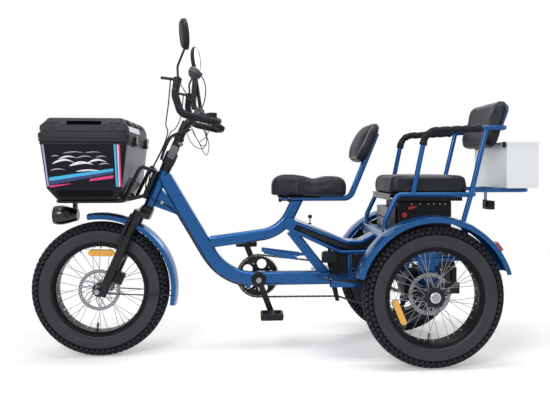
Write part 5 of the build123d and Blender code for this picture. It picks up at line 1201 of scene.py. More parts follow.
def sewn(name: str, pad: bpy.types.Object, points: Sequence[Sequence[float]], radius: float, finish: "Finish",
         closed: bool = False, sink: float = 0.3) -> None:
    """Lay a welt or a seam on a pad's surface, along its nearest points.

    Args:
        name: Object name.
        pad: The finished pad.
        points: Guide points in millimetres, near the surface.
        radius: Radius of the welt.
        finish: Its finish.
        closed: The line returns to its start.
        sink: Share of the radius that lies under the surface.
    """
    tree = surface(pad.data)
    corners = [Vector(point) for point in points] + ([Vector(points[0])] if closed else [])
    guide = [corners[0]]
    for end in corners[1:]:
        guide += runs(guide[-1], end, 7)
    line = []
    for point in guide[:-1] if closed else guide:
        place, normal, _, _ = tree.find_nearest(point * MM)
        line.append(place / MM - normal * radius * sink)
    for _ in range(3):
        count = len(line)
        line = [line[k] if not closed and k in (0, count - 1) else
                (line[k - 1] + line[k] * 2 + line[(k + 1) % count]) / 4 for k in range(count)]
    Shell().sweep(line + (line[:2] if closed else []), radius, 8).put(name, "frame", "seat_cover", finish)


def pad_rings(outline: Pairs, place: Matrix, low: Callable[[float, float], float],
              high: Callable[[float, float], float], edge: float) -> list[Ring]:
    """Rings of a pad with round edges: seated face, sides, then the open face.

    Args:
        outline: Outline in the pad's plane.
        place: Frame of the pad; its third column points to the open face.
        low: Height of the seated face over a point of the plane.
        high: Height of the open face over a point of the plane.
        edge: Radius of the round edges.

    Returns:
        The rings.
    """
    half_x = max(p[0] for p in outline)
    half_y = max(p[1] for p in outline)

    def ring(inset: float, share: float, lift: float, keep: float = 1.0) -> Ring:
        """One ring: outline drawn in, at a share of the height plus a lift."""
        points = []
        for x, y in outline:
            s, t = x * (1 - inset / half_x) * keep, y * (1 - inset / half_y) * keep
            base, top = low(s, t), high(s, t)
            height = base + (top - base) * share + min(abs(lift), (top - base) * 0.45) * math.copysign(1, lift)
            points.append(place @ Vector((s, t, height)))
        return points

    rings = [ring(edge, 0, 0, 0.35), ring(edge, 0, 0, 0.8)]
    for k in range(4):
        turn = math.pi / 2 * k / 3
        rings.append(ring(edge * (1 - math.sin(turn)), 0, edge * (1 - math.cos(turn)) + 0.01))
    rings.append(ring(-1.5, 0.5, 0.01))
    for k in range(4):
        turn = math.pi / 2 * k / 3
        rings.append(ring(edge * (1 - math.cos(turn)), 1, -edge * (1 - math.sin(turn)) - 0.01))
    return rings + [ring(edge, 1, -0.01, keep) for keep in (0.85, 0.6, 0.3)]


def length_of(line: Sequence[Vector]) -> float:
    """Length along the points of a line."""
    return sum((b - a).length for a, b in zip(line, line[1:]))


@dataclass
class Seats:
    """Saddle, rider's rest, passenger's cushion and rest, and the foam sleeves on the arms.

    Attributes:
        saddle_x: Rear and front end of the saddle.
        saddle_z: Underside and highest top of the saddle.
        nose_half: Half width of the nose.
        wide_half: Half width of the rear pad.
        post_foot: Foot of the rider rest's post.
        post_top: Top of that post.
        cushion_x: Rear and front of the passenger's cushion.
        cushion_z: Its underside and top.
        cushion_half: Its half width.
        rest_back: Middle of the passenger rest's back.
        arm_y: Side offset of the arms.
    """

    saddle_x: tuple[float, float] = (-271, 57)
    saddle_z: tuple[float, float] = (704.3, 796)
    nose_half: float = 72
    wide_half: float = 122
    post_foot: Vector = field(default_factory=lambda: Vector(REST_POST[0]))
    post_top: Vector = field(default_factory=lambda: Vector(REST_POST[1]))
    cushion_x: tuple[float, float] = (-797, -444)
    cushion_z: tuple[float, float] = (715.3, 795)
    cushion_half: float = 190
    rest_back: Vector = field(default_factory=lambda: Vector((-943.7, 0, 1003)))
    arm_y: float = 205

    def saddle_ring(self, x: float) -> Ring:
        """Cross-section of the saddle at a place along it."""
        rear, front = self.saddle_x
        low, top = self.saddle_z
        share = min(max((-42 - x) / 95, 0.0), 1.0)
        half = self.nose_half - 6 + (self.wide_half - self.nose_half) * share ** 2 * (3 - 2 * share)
        half -= 8 * max(0.0, (x + 20) / 77)
        along = (front - x) / (front - rear)
        crown = top - 3 - 17 * math.exp(-((along - 0.58) / 0.13) ** 2) - 9 * max(0.0, along - 0.55) / 0.45
        nose, tail = 44.0, 26.0
        gap = min((front - x) / nose, (x - rear) / tail, 1.0)
        round_off = 1 - math.sqrt(max(0.0, 1 - (1 - max(gap, 0.0)) ** 2))
        half -= round_off * (34 if x > -100 else 30)
        crown -= round_off * (46 if x > -100 else 34)
        low += round_off * 3
        middle, rise = (low + crown) / 2, (crown - low) / 2
        ring = []
        for k in range(40):
            turn = math.tau * k / 40
            c, s = math.cos(turn), math.sin(turn)
            power = 0.42 if s > 0 else 0.28
            ring.append(Vector((x, math.copysign(abs(c) ** 0.5, c) * half,
                                middle + math.copysign(abs(s) ** power, s) * rise
                                - (4.5 * max(s, 0) * math.exp(-(c / 0.22) ** 2) if share > 0.2 else 0))))
        return ring

    def saddle(self) -> None:
        """Two-level saddle with a thick round nose, a dip and a wide rear pad with its edge seams."""
        rear, front = self.saddle_x
        places = [rear + 0.8 + (front - rear - 1.6) * (0.5 - 0.5 * math.cos(math.pi * k / 34)) for k in range(35)]
        pad = Pad("saddle_pad", ("saddle",), [self.saddle_ring(x) for x in places], 5.0,
                  lambda p: p.z < self.saddle_z[0] + 5, voxel=5.0).build("frame")
        for side, hand in SIDES:
            guide = [(-99, 70, 712), (-101, 78, 726), (-107, 90, 744), (-120, 103, 760), (-143, 114, 771),
                     (-180, 117, 777), (-215, 112, 776), (-246, 96, 770)]
            sewn(f"saddle_seam_{hand}", pad, [(x, side * (y + 6), z) for x, y, z in guide], 1.5, SEAM, sink=0.35)
        rim = [(p.x, p.y * 1.02, self.saddle_z[0] + 6) for p in self._foot_line()]
        sewn("saddle_lower_edge", pad, rim, 1.6, SEAM, closed=True, sink=0.4)

    def _foot_line(self) -> list[Vector]:
        """Outline of the saddle's foot, seen from above."""
        rear, front = self.saddle_x
        places = [rear + 3 + (front - rear - 6) * k / 24 for k in range(25)]
        left = [max(self.saddle_ring(x), key=lambda p: p.y) for x in places]
        return left + [Vector((p.x, -p.y, p.z)) for p in reversed(left)]

    def rider_rest(self) -> None:
        """Deep D-shaped rest with a grey welt round its face."""
        lean = (self.post_top - self.post_foot).normalized()
        normal = Vector((lean.z, 0, -lean.x))
        centre = self.post_top - lean * 62 + normal * 13.3
        place = frame_at(centre, normal)
        outline = rounded(284, 184, 62, 8)

        def depth(s: float, t: float) -> float:
            """Deep below the middle, thin at the top, wrapped back at the sides."""
            rise = t / 92
            return 24 + 33 * math.sqrt(max(0.0, 1 - ((rise + 0.22) / 1.24) ** 2)) - 5 * (s / 142) ** 2

        rings = pad_rings(outline, place, lambda s, t: 0.4, depth, 15)
        inner = place.inverted()
        pad = Pad("rider_rest_pad", ("rider_backrest",), rings, 6.0,
                  lambda p: (inner @ p).z < 4).build("frame")
        for name, inset, finish, radius in (("welt", 6.0, PIPING, 2.3), ("rear_seam", 1.0, SEAM, 1.5)):
            guide = []
            for x, y in rounded(284 - 2 * inset, 184 - 2 * inset, 58, 5):
                height = depth(x, y) - 5 if name == "welt" else 9
                guide.append(tuple(place @ Vector((x * 1.02, y * 1.02, height))))
            sewn(f"rider_rest_{name}", pad, guide, radius, finish, closed=True)

    def cushion(self) -> None:
        """Box cushion with soft edges and a seam below its top edge."""
        rear, front = self.cushion_x
        low, top = self.cushion_z
        length = front - rear
        place = frame_at(((rear + front) / 2, 0, 0), (0, 0, 1), (1, 0, 0))

        def crown(s: float, t: float) -> float:
            """Slightly higher in the middle."""
            return top - 7 + 5 * (1 - (2 * s / length) ** 2) * (1 - (t / self.cushion_half) ** 2)

        rings = pad_rings(rounded(length - 8, 2 * self.cushion_half - 8, 34, 6), place, lambda s, t: low + 0.4,
                          crown, 14)
        pad = Pad("cushion_pad", ("passenger_cushion",), rings, 7.0, lambda p: p.z < low + 4).build("frame")
        for name, height, inset, radius in (("upper_seam", top - 13, -3, 1.2), ("lower_seam", low + 9, -3, 1.3)):
            guide = [tuple(place @ Vector((x, y, height)))
                     for x, y in rounded(length - 8 - 2 * inset, 2 * self.cushion_half - 8 - 2 * inset, 36, 5)]
            sewn(f"cushion_{name}", pad, guide, radius, SEAM, closed=True, sink=0.45)
        for side, hand in SIDES:
            guide = [(front - 3, side * (self.cushion_half - 3), z) for z in (low + 8, top - 14)]
            sewn(f"cushion_corner_{hand}", pad, guide, 1.1, SEAM, sink=0.45)

    def passenger_rest(self) -> None:
        """Upright rest curved round the back, with side bolsters and edge seams."""
        lean = Vector((-0.30, 0, 1)).normalized()
        normal = Vector((lean.z, 0, -lean.x))
        place = frame_at(self.rest_back + normal * 0.8 + lean * 12, normal)
        half = 187

        def face(s: float, t: float) -> float:
            """Hollow in the middle, thicker at the bolsters."""
            share = abs(s) / half
            return 42 + 12 * max(0.0, share - 0.25) ** 1.3 - 4 * (t / 111) ** 2

        rings = pad_rings(rounded(2 * half - 8, 214, 44, 7), place, lambda s, t: 0.3, face, 14)
        inner = place.inverted()
        pad = Pad("passenger_rest_pad", ("passenger_backrest",), rings, 5.0,
                  lambda p: (inner @ p).z < 4).build("frame")
        for name, inset, height in (("front_seam", 3.0, 36.0), ("rear_seam", 0.0, 9.0)):
            guide = [tuple(place @ Vector((x, y, height))) for x, y in rounded(2 * half - 4 - 2 * inset,
                                                                            218 - 2 * inset, 44, 5)]
            sewn(f"passenger_rest_{name}", pad, guide, 1.5, SEAM, closed=True, sink=0.4)

    def sleeves(self) -> None:
        """Foam sleeves over the arms, gathered in soft folds, with a cuff at each end."""
        shell = Shell()
        for side in (1, -1):
            y = side * self.arm_y
            line = bent([(-582.5, y, 924), (-595, y, 984), (-838, y, 996.8)], [60], 3.0)
            length = length_of(line)

            def fold(run: float, turn: float, phase: float = 1.3 * side) -> float:
                """Radius over the run: soft folds, and a fuller cuff at both ends."""
                end = min(run, length - run)
                cuff = 1.5 * math.exp(-((end - 6) / 6) ** 2)
                wave = 1.0 * math.sin(run / 7.2 + phase + 0.9 * math.sin(turn + run / 60))
                wave += 0.6 * math.sin(run / 3.9 + 2.1 * math.sin(turn * 2 + phase))
                return 15.4 + cuff + wave * min(1.0, end / 18)

            shell.sweep(line, fold, 28)
        piece = shell.put("arm_foam", "frame", "foam", FOAM_SLEEVE, angle=180)
        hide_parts("arm_sleeves")

    def build(self) -> None:
        """Make every soft piece."""
        self.saddle()
        self.rider_rest()
        self.cushion()
        self.passenger_rest()
        self.sleeves()


# ---- Cargo box --------------------------------------------------------------------------------
@dataclass
class CargoBox:
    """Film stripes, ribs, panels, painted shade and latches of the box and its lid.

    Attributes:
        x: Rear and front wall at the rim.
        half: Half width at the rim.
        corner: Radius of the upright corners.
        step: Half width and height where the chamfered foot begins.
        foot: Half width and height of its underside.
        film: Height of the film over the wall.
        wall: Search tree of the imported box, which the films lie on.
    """

    x: tuple[float, float] = (643, 987)
    half: float = 270
    corner: float = 16
    step: tuple[float, float] = (260, 744)
    foot: tuple[float, float] = (229, 698)
    film: float = 0.7
    wall: Optional[BVHTree] = None

    @property
    def middle(self) -> float:
        """Middle of the box along the vehicle."""
        return (self.x[0] + self.x[1]) / 2

    def strip(self, shell: Shell, side: int, low: Pairs,
              high: Pairs, tint: int) -> None:
        """Lay a strip of film between two edge lines, pressed on to the side wall.

        Args:
            shell: Shell that receives it.
            side: +1 on the left.
            low: One edge as X and Z.
            high: The other edge, with as many points.
            tint: Finish number.
        """
        rings = []
        for pair in zip(low, high):
            met = []
            for x, z in pair:
                place, normal, _, _ = self.wall.ray_cast(Vector((x, side * 400, z)) * MM, Vector((0, -side, 0)))
                if place is None:
                    return
                met.append((place / MM, normal))
            rings.append([met[0][0] - met[0][1] * 0.3, met[0][0] + met[0][1] * self.film,
                          met[1][0] + met[1][1] * self.film, met[1][0] - met[1][1] * 0.3])
        turn = (rings[0][1] - rings[0][0]).cross(rings[0][2] - rings[0][1])
        if turn.dot(rings[1][0] - rings[0][0]) < 0:
            rings = [ring[::-1] for ring in rings]
        shell.rings(rings, tint=tint)

    def band(self, shell: Shell, side: int, corners: Pairs, tint: int) -> None:
        """Lay a straight band given by both ends of its two edges.

        Args:
            shell: Shell that receives it.
            side: +1 on the left.
            corners: Start and end of one edge, then start and end of the other, as X and Z.
            tint: Finish number.
        """
        first, second, third, fourth = (Vector(corner) for corner in corners)
        steps = 12
        self.strip(shell, side, [tuple(first.lerp(second, k / steps)) for k in range(steps + 1)],
                   [tuple(third.lerp(fourth, k / steps)) for k in range(steps + 1)], tint)

    def streak(self, shell: Shell, side: int, start: tuple[float, float], size: tuple[float, float, float],
               tint: int) -> None:
        """Lay a tapered brush streak with a swell near its head.

        Args:
            shell: Shell that receives it.
            side: +1 on the left.
            start: Head of the streak as X and Z.
            size: Length, width and rise.
            tint: Finish number.
        """
        length, width, rise = size
        low, high = [], []
        for k in range(13):
            share = k / 12
            middle = start[1] + rise * math.sin(share * math.pi * 0.9)
            swell = 0.2 + width * math.sin(math.pi * share ** 0.7) / 2
            low.append((start[0] - share * length, middle - swell))
            high.append((start[0] - share * length, middle + swell))
        self.strip(shell, side, low, high, tint)

    def films(self) -> None:
        """Coloured stripes and pale streaks on both side walls."""
        for side, hand in SIDES:
            shell = Shell()
            for corners, tint in (
                    (((950, 773), (700, 813), (951, 788), (700, 824)), 0),
                    (((949, 758), (700, 803), (950, 772), (700, 812)), 1),
                    (((948, 748), (868, 761), (949, 756), (868, 764)), 2),
                    (((794, 772), (700, 785), (792, 782), (700, 797)), 2),
                    (((690, 750), (697, 924), (682.5, 750), (689.5, 924)), 0),
                    (((682.5, 750), (689.5, 924), (679, 750), (684, 924)), 1),
                    (((679, 750), (684, 924), (675.5, 750), (679.5, 924)), 3),
                    (((675.5, 750), (679.5, 924), (669, 750), (672.5, 924)), 2),
                    (((951, 752), (970, 922), (958, 752), (977, 922)), 5)):
                self.band(shell, side, corners, tint)
            for x, z, length, width, rise in (
                    (938, 842, 88, 9, 16), (912, 862, 70, 6, 10), (872, 834, 96, 11, 13), (842, 866, 60, 5, 7),
                    (800, 846, 74, 8, 12), (768, 868, 44, 4, 5), (946, 816, 60, 5, 6), (846, 812, 104, 6, 5),
                    (756, 838, 44, 5, 6), (896, 884, 84, 4, 6), (808, 886, 62, 3, 4), (940, 872, 30, 4, 3)):
                self.streak(shell, side, (x, z), (length, width, rise), 3 if width > 5 else 4)
            shell.put(f"box_films_{hand}", "frame", "box_shell", FILM_CYAN, FILM_NAVY, FILM_MAGENTA, FILM_PALE,
                      FILM_GREY, FILM_LAVENDER, angle=20)

    def belt(self, shell: Shell, grow: float, profile: Pairs) -> None:
        """Run a closed section round the box.

        Args:
            shell: Shell that receives it.
            grow: How far the section's zero lies outside the rim of the box.
            profile: Offset outwards and height, in order round the section.
        """
        rings = []
        for out, z in profile:
            grown = grow + out
            outline = rounded(self.x[1] - self.x[0] + 2 * grown, 2 * (self.half + grown),
                              max(self.corner + grown, 4))
            rings.append([Vector((self.middle + x, y, z)) for x, y in outline])
        shell.rings(rings, loop=True)

    def panels(self) -> None:
        """Painted shade on the foot panels, as near-black plates, and the rim bead of the box."""
        shell = Shell()
        fall = Vector((self.foot[0] - self.step[0], self.foot[1] - self.step[1]))
        for side in (1, -1):
            place = frame_at((self.middle, side * self.step[0], self.step[1]), (0, -side * fall.y, fall.x), (1, 0, 0))
            outline = [(x, y + side * 25) for x, y in rounded(224, 32, 13)]
            shell.plate(outline, place @ Matrix.Translation((0, 0, -0.5)), 1.9, 0.9)
        # The foot panels are near-black plates: painted shade of recessed panels.
        shell.put("box_foot_panels", "frame", "box_shell", PAINTED_SHADE)
        bead = Shell()
        self.belt(bead, 0, [(-0.6, 919), (2.2, 920.5), (2.2, 927), (-0.6, 928.5)])
        bead.put("box_rim_bead", "frame", "box_shell", BLACK_NYLON)

    def lid_ribs(self) -> None:
        """Belts round the lid's lip, raised panels on its sides and top, slot shadows and a bare label."""
        shell = Shell()
        self.belt(shell, 4, [(-1, 931.5), (1.8, 932.5), (1.8, 938), (-1, 939)])
        self.belt(shell, 4, [(-1.5, 943), (3.2, 945.5), (3.2, 963), (-1.5, 966)])
        shell.put("lid_belts", "box_lid", "box_shell", MOULDED_ABS)
        shell = Shell()
        top = frame_at((self.middle, 0, 1026.4), (0, 0, 1), (1, 0, 0))
        for y in (-140, 0, 140):
            shell.plate(rounded(250, 108, 18), top @ Matrix.Translation((0, y, 0)), 3.4, 1.6)
        for side in (1, -1):
            wall = frame_at((self.middle, side * 266.2, 984), (0, side, 0.09), (1, 0, 0))
            for x, width in ((146, 46), (0, 226), (-143, 46)):
                shell.plate(rounded(width, 25, 5), wall @ Matrix.Translation((x, 0, -1)), 4.2, 1.8)
            slope = frame_at((self.middle, side * 253.5, 1013.5), (0, side * 27, 23), (1, 0, 0))
            for x, width in ((122, 50), (-122, 50)):
                shell.plate(rounded(width, 24, 5), slope @ Matrix.Translation((x, 0, -1)), 3.4, 1.6)
        for end, x in ((1, 976.5), (-1, 653.5)):
            slope = frame_at((x, 0, 1013.5), (end * 27, 0, 23))
            for y in (-150, 0, 150):
                shell.plate(rounded(110, 24, 5), slope @ Matrix.Translation((y, 0, -1)), 3.4, 1.6)
        shell.put("lid_panels", "box_lid", "box_shell", MOULDED_ABS)
        shell = Shell()
        for side in (1, -1):
            out = frame_at((self.middle, side * 232, 1006), (0, side, 0), (1, 0, 0))
            shell.plate(rounded(130, 12, 4), out, 3, 1)
        shell.put("lid_slot_shadow", "box_lid", "box_shell", PAINTED_SHADE)
        label = Shell().plate(rounded(250, 23, 4), frame_at((644.6, 105, 984), (-1, 0, 0.15)), 2.4, 0.4)
        label.put("lid_blank_label", "box_lid", "box_shell", FILM_PALE)

    def latches(self) -> None:
        """Handles and screws of the rear latches."""
        heads = []
        shell = Shell()
        for y in (140, -140):
            shell.plate(rounded(20, 44, 4), frame_at((630, y, 938), (-1, 0, 0)), 4.5, 1.4)
            shell.plate(rounded(14, 7, 2), frame_at((627, y, 922), (-1, 0, -0.3)), 6, 1.4)
            heads.append(Screw((625.8, y, 956), (-1, 0, 0), 3.8))
        shell.put("lid_latch_handles", "box_lid", "box_shell", LAMP_BLACK)
        screws("lid_latch_screws", heads, STAINLESS, "box_lid")

    def paint(self, box: bpy.types.Object) -> None:
        """Smooth dark side walls and a grey rear panel.

        Args:
            box: Packed box.
        """
        def wall(place: Vector, normal: Vector) -> int:
            """Rear wall grey, foot near black, side walls smooth."""
            if normal.x < -0.8 and place.x < self.x[0] + 30 and place.z > self.step[1] + 20:
                return 2
            return 1 if place.z < self.step[1] + 1 or abs(normal.y) > 0.7 else 0

        tint_faces(box, (MOULDED_ABS, SMOOTH_ABS, GREY_ABS), wall)

    def build(self, nodes: dict[str, bpy.types.Object]) -> None:
        """Make every piece of the box.

        Args:
            nodes: The frame's objects by name.
        """
        self.paint(nodes["cargo_box"])
        self.wall = surface(nodes["cargo_box"].data)
        self.films()
        self.panels()
        self.lid_ribs()
        self.latches()


# ---- Cockpit ----------------------------------------------------------------------------------
@dataclass
class Cockpit:
    """Grips, gauge, switches, mirrors, clamps and cables of the steering.

    Attributes:
        clamp: Middle of the bar clamp.
        inner: Corners of the bar's left half, from the clamp to its end.
        bends: Radius at each inner corner.
        cable_radius: Radius of a cable.
    """

    clamp: Vector = field(default_factory=lambda: Vector((374, 0, 1075)))
    inner: tuple[tuple[float, float, float], ...] = ((374, 30, 1075), (362, 120, 1057), (250, 262, 1000),
                                                     (428, 298, 1042), (453, 285, 1120), (442, 268, 1190))
    bends: tuple[float, ...] = (60, 45, 38, 60)
    cable_radius: float = 2.5

    def bar(self, side: int) -> list[Vector]:
        """Centre line of one half of the bar."""
        return bent([(x, side * y, z) for x, y, z in self.inner], self.bends, 3.0)

    def steer_point(self, along: float, forward: float, y: float) -> Vector:
        """Point by its run up the steering axis, and its distance forward of it."""
        return Vector((STEER_ZERO[0] - STEER_SIN * along + STEER_COS * forward, y,
                       STEER_ZERO[1] + STEER_COS * along + STEER_SIN * forward))

    def grips(self) -> None:
        """Foam grips with soft folds, their end rings and the foam on the bar's corners."""
        corners = [Vector(point) for point in self.inner]
        start = corners[2].lerp(corners[3], 0.36)
        end = corners[4].lerp(corners[5], 0.55)
        shell, rings = Shell(), Shell()
        for side in (1, -1):
            line = bent([(p.x, side * p.y, p.z) for p in (start, corners[3], corners[4], end)], [38, 60], 2.6)
            length = length_of(line)

            def fold(run: float, turn: float) -> float:
                """Radius over the run, with soft folds and a fuller cuff."""
                edge = min(run, length - run)
                wave = 0.22 * math.sin(run / 9.1 + 0.8 * math.sin(turn + run / 40)) + 0.1 * math.sin(run / 5.3 + turn)
                return 15.0 + 0.7 * math.exp(-((edge - 4) / 4) ** 2) + wave * min(1.0, edge / 14)

            shell.sweep(line, fold, 26)
            for tip, other in ((line[0], line[2]), (line[-1], line[-3])):
                away = (tip - other).normalized()
                rings.lathe([(-1, 11.2), (-1, 15), (1, 16), (5, 16), (7, 14.6), (7, 11.2)], tip, away, 30, loop=True)
        piece = shell.put("grip_foam", "steering", "foam", FOAM_SLEEVE, angle=180)
        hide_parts("bar_grips")
        rings.put("grip_end_rings", "steering", "black_metal", ANODISED_BLACK)
        cover = Shell()
        for side in (1, -1):
            line = bent([(p.x, side * p.y, p.z) for p in (corners[1].lerp(corners[2], 0.72), corners[2], start)],
                        [45], 3.0)
            cover.sweep(line, lambda run, turn: 14.2 + 0.4 * math.sin(run / 9 + turn), 24)
        cover.put("bar_corner_foam", "steering", "foam", FOAM_SLEEVE, angle=180)

    def gauge(self) -> None:
        """Grey bowl and domed glass of the round gauge."""
        face = Vector((388, 0, 1258))
        tilt = Vector((-0.55, 0, 0.83)).normalized()
        shell = Shell()
        shell.lathe([(-41, 0.5), (-40, 9), (-36, 18), (-27, 26), (-16, 30.4), (-1, 31.6), (3, 31), (4.4, 28.6),
                     (3.4, 27.4), (-5, 27.2)], face, tilt, 56)
        shell.put("gauge_shell", "steering", "black_plastic", GAUGE_SHELL)
        glass = Shell().lathe([(-4, 0.5), (-4, 27.3), (2.6, 27.3), (7, 23.5), (10.4, 16), (12, 7), (12.3, 0.5)], face,
                              tilt, 56)
        glass.put("gauge_glass", "steering", "black_plastic", GAUGE_FACE)

    def mirror_glasses(self) -> None:
        """Silvered glass and a thin bezel in each mirror."""
        end = Vector(self.inner[-1])
        glass, bezel = Shell(), Shell()
        for side in (1, -1):
            centre = Vector((end.x - 24, side * (end.y + 26), end.z + 168))
            facing = Vector((-1, -0.35 * side, 0.1)).normalized()
            place = frame_at(centre + facing * 11.4, facing, (0, 1, 0))
            glass.plate(oval(71, 115), place, 1.5, 0.5)
            outer, inner = oval(81, 125), oval(70, 114)
            rings = []
            for outline, height in ((outer, 0.0), (outer, 2.6), (inner, 3.4), (inner, 0.0)):
                rings.append([place @ Vector((x, y, height - 0.3)) for x, y in outline])
            bezel.rings(rings, caps=False, loop=True)
        glass.put("mirror_glasses", "steering", "mirror_shell", MIRROR_GLASS)
        bezel.put("mirror_bezels", "steering", "mirror_shell", LAMP_BLACK)

    def clamps(self) -> None:
        """Bar clamp, collars of levers and column, folding latch, the gauge's bridge and the stem's screws."""
        shell = Shell()
        shell.lathe([(-26, 12), (-26, 17), (-23, 19), (-9, 19), (-7, 17.5), (7, 17.5), (9, 19), (23, 19), (26, 17),
                     (26, 12)], self.clamp, sides=36, loop=True)
        shell.put("bar_clamp", "steering", "alloy", ANODISED_GREY)
        collars = Shell()
        for side in (1, -1):
            line = self.bar(side)
            for share in (0.90, 0.955):
                index = int(len(line) * share)
                away = (line[index + 1] - line[index]).normalized()
                collars.lathe([(-7, 11.2), (-7, 14), (-5.5, 15.4), (5.5, 15.4), (7, 14), (7, 11.2)], line[index],
                              away, 28, loop=True)
        collars.put("lever_collars", "steering", "black_metal", POWDER_BLACK)
        column = Shell()
        for along, radius, length in ((640, 27, 10), (668, 25.5, 6), (742, 23.5, 8)):
            centre = self.steer_point(along, 0, 0)
            axis = Vector((-STEER_SIN, 0, STEER_COS))
            column.lathe([(-length, 16), (-length, radius - 1.5), (1.5 - length, radius), (length - 1.5, radius),
                          (length, radius - 1.5), (length, 16)], centre, axis, 36, loop=True)
        column.put("column_collars", "steering", "black_metal", POWDER_BLACK)
        latch = Shell()
        for side in (1, -1):
            seat = self.steer_point(676, -2, side * 18)
            level = (STEER_COS, 0, STEER_SIN)
            latch.plate(rounded(32, 62, 9), frame_at(seat, (0, side, 0), level), 9, 2.6)
            latch.plate(rounded(20, 34, 7), frame_at(seat + Vector((0, side, 0)) * 8, (0, side, 0), level), 5, 1.8)
            latch.lathe([(0, 4), (0, 8.5), (7, 9.5), (12, 8), (13, 2)], self.steer_point(722, -16, side * 12),
                        Vector((0, side, 0)), 24)
        latch.put("column_latch", "steering", "alloy", ANODISED_GREY)
        bridge = Shell()
        for side in (1, -1):
            bridge.rings([[Vector((x + shift, side * y, z)) for shift, y in ((-11, 5), (11, 5), (11, 19), (-11, 19))]
                          [::side] for x, z in ((398, 1086), (402, 1120), (398, 1170), (394, 1216), (391, 1238))])
        bridge.put("gauge_bridge", "steering", "black_metal", POWDER_BLACK)
        heads = [Screw((self.clamp.x + 18.5, y, self.clamp.z + 3), (1, 0, 0.2), 3.2) for y in (-16, 16)]
        heads += [Screw(tuple(self.steer_point(564, -26, y)), (-0.91, 0, -0.4), 3.4) for y in (-9, 9)]
        screws("stem_screws", heads, STAINLESS, "steering")

    def cables(self) -> None:
        """Brake cables from the levers down the fork's front and along the frame, on one smooth line each."""
        for side, hand in SIDES:
            above = [(472, 267, 1177.5), (476, 268, 1127), (482, 258, 1078), (492, 228, 1038), (502, 182, 1012),
                     (507, 128, 1000), (507, 76, 996)]
            steer = [(742, 50, 32), (700, 48, 12), (650, 49, 9), (599.5, 52, 8), (557, 55, 14), (518, 52, 34),
                     (487, 42, 54), (460, 10, 58), (443, -30, 46)]
            line = [Vector((x, side * y, z)) for x, y, z in above]
            line += [self.steer_point(along, forward, side * y) for along, forward, y in steer]
            line.append(Vector((523, side * 27, 663)))
            line += [Vector((562.0 - 0.501 * t, side * y, 772.9 - 0.865 * t))
                     for t, y in ((160, 15), (220, 13), (280, 14.5), (340, 13))]
            for angle, y in ((30, 14.5), (42, 13), (54, 14.5), (66, 13), (77, 14)):
                turn = math.radians(angle)
                line.append(Vector((131.2 + 266 * math.cos(turn), side * y, 560 - 266 * math.sin(turn))))
            line.append(Vector((172.8, side * 13, 297)))
            piece = hose(f"brake_cable_{hand}", self.cable_radius, line)
            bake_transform(piece)
            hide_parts("steering_cables", "frame_cables")
            LOG.info("piece %s bends between frame and steering", piece.name)

    def loops(self) -> None:
        """Short cable loops and the bound harness between bar, gauge and head tube."""
        routes = (
            ("gauge_lead", 2.4, [(372, 5, 1243), (352, 9, 1215), (346, 14, 1170), (352, 17, 1120), (366, 20, 1085),
                                 (392, 22, 1050), (418, 22, 1020)]),
            ("switch_lead", 2.0, [(436, 262, 1168), (412, 250, 1130), (392, 222, 1092), (382, 170, 1066),
                                  (388, 112, 1056), (398, 60, 1046), (410, 30, 1030)]),
            ("far_lead", 2.0, [(436, -262, 1168), (406, -250, 1126), (386, -220, 1086), (380, -168, 1062),
                               (388, -110, 1052), (398, -60, 1044), (410, -34, 1030)]),
            ("harness", 6.5, [(420, 34, 1000), (446, 36, 985), (474, 38, 976), (497, 40, 964), (514, 40, 935),
                              (530, 40, 895), (540, 40, 862)]),
            ("harness_far", 5.0, [(420, -34, 1000), (444, -36, 984), (470, -38, 972), (490, -40, 950),
                                  (505, -40, 915), (520, -40, 870)]),
            ("loop_first", 1.6, [(430, 60, 989), (418, 66, 954), (398, 72, 924), (372, 74, 908), (352, 70, 911),
                                 (339, 64, 936), (343, 60, 966), (356, 58, 998)]),
            ("loop_second", 1.6, [(412, 80, 1006), (391, 90, 968), (368, 94, 930), (352, 94, 892), (339, 92, 878),
                                  (330, 90, 900), (329, 88, 931), (338, 84, 962), (352, 80, 1004)]),
            ("loop_third", 1.6, [(322, 96, 1006), (336, 88, 965), (356, 74, 949), (376, 60, 938)]),
            ("loop_far", 1.6, [(412, -60, 1006), (396, -76, 962), (374, -84, 926), (352, -80, 930), (344, -70, 970),
                               (352, -60, 1006)]),
            ("horn_lead", 2.0, [(330, 176, 1044), (352, 150, 1022), (388, 108, 1010), (420, 64, 1000),
                                (446, 34, 985)]),
        )
        for name, radius, points in routes:
            ride(hose(name, radius, points), "steering")

    def build(self) -> None:
        """Make every piece of the cockpit."""
        self.grips()
        self.gauge()
        self.mirror_glasses()
        self.clamps()
        self.cables()
        self.loops()


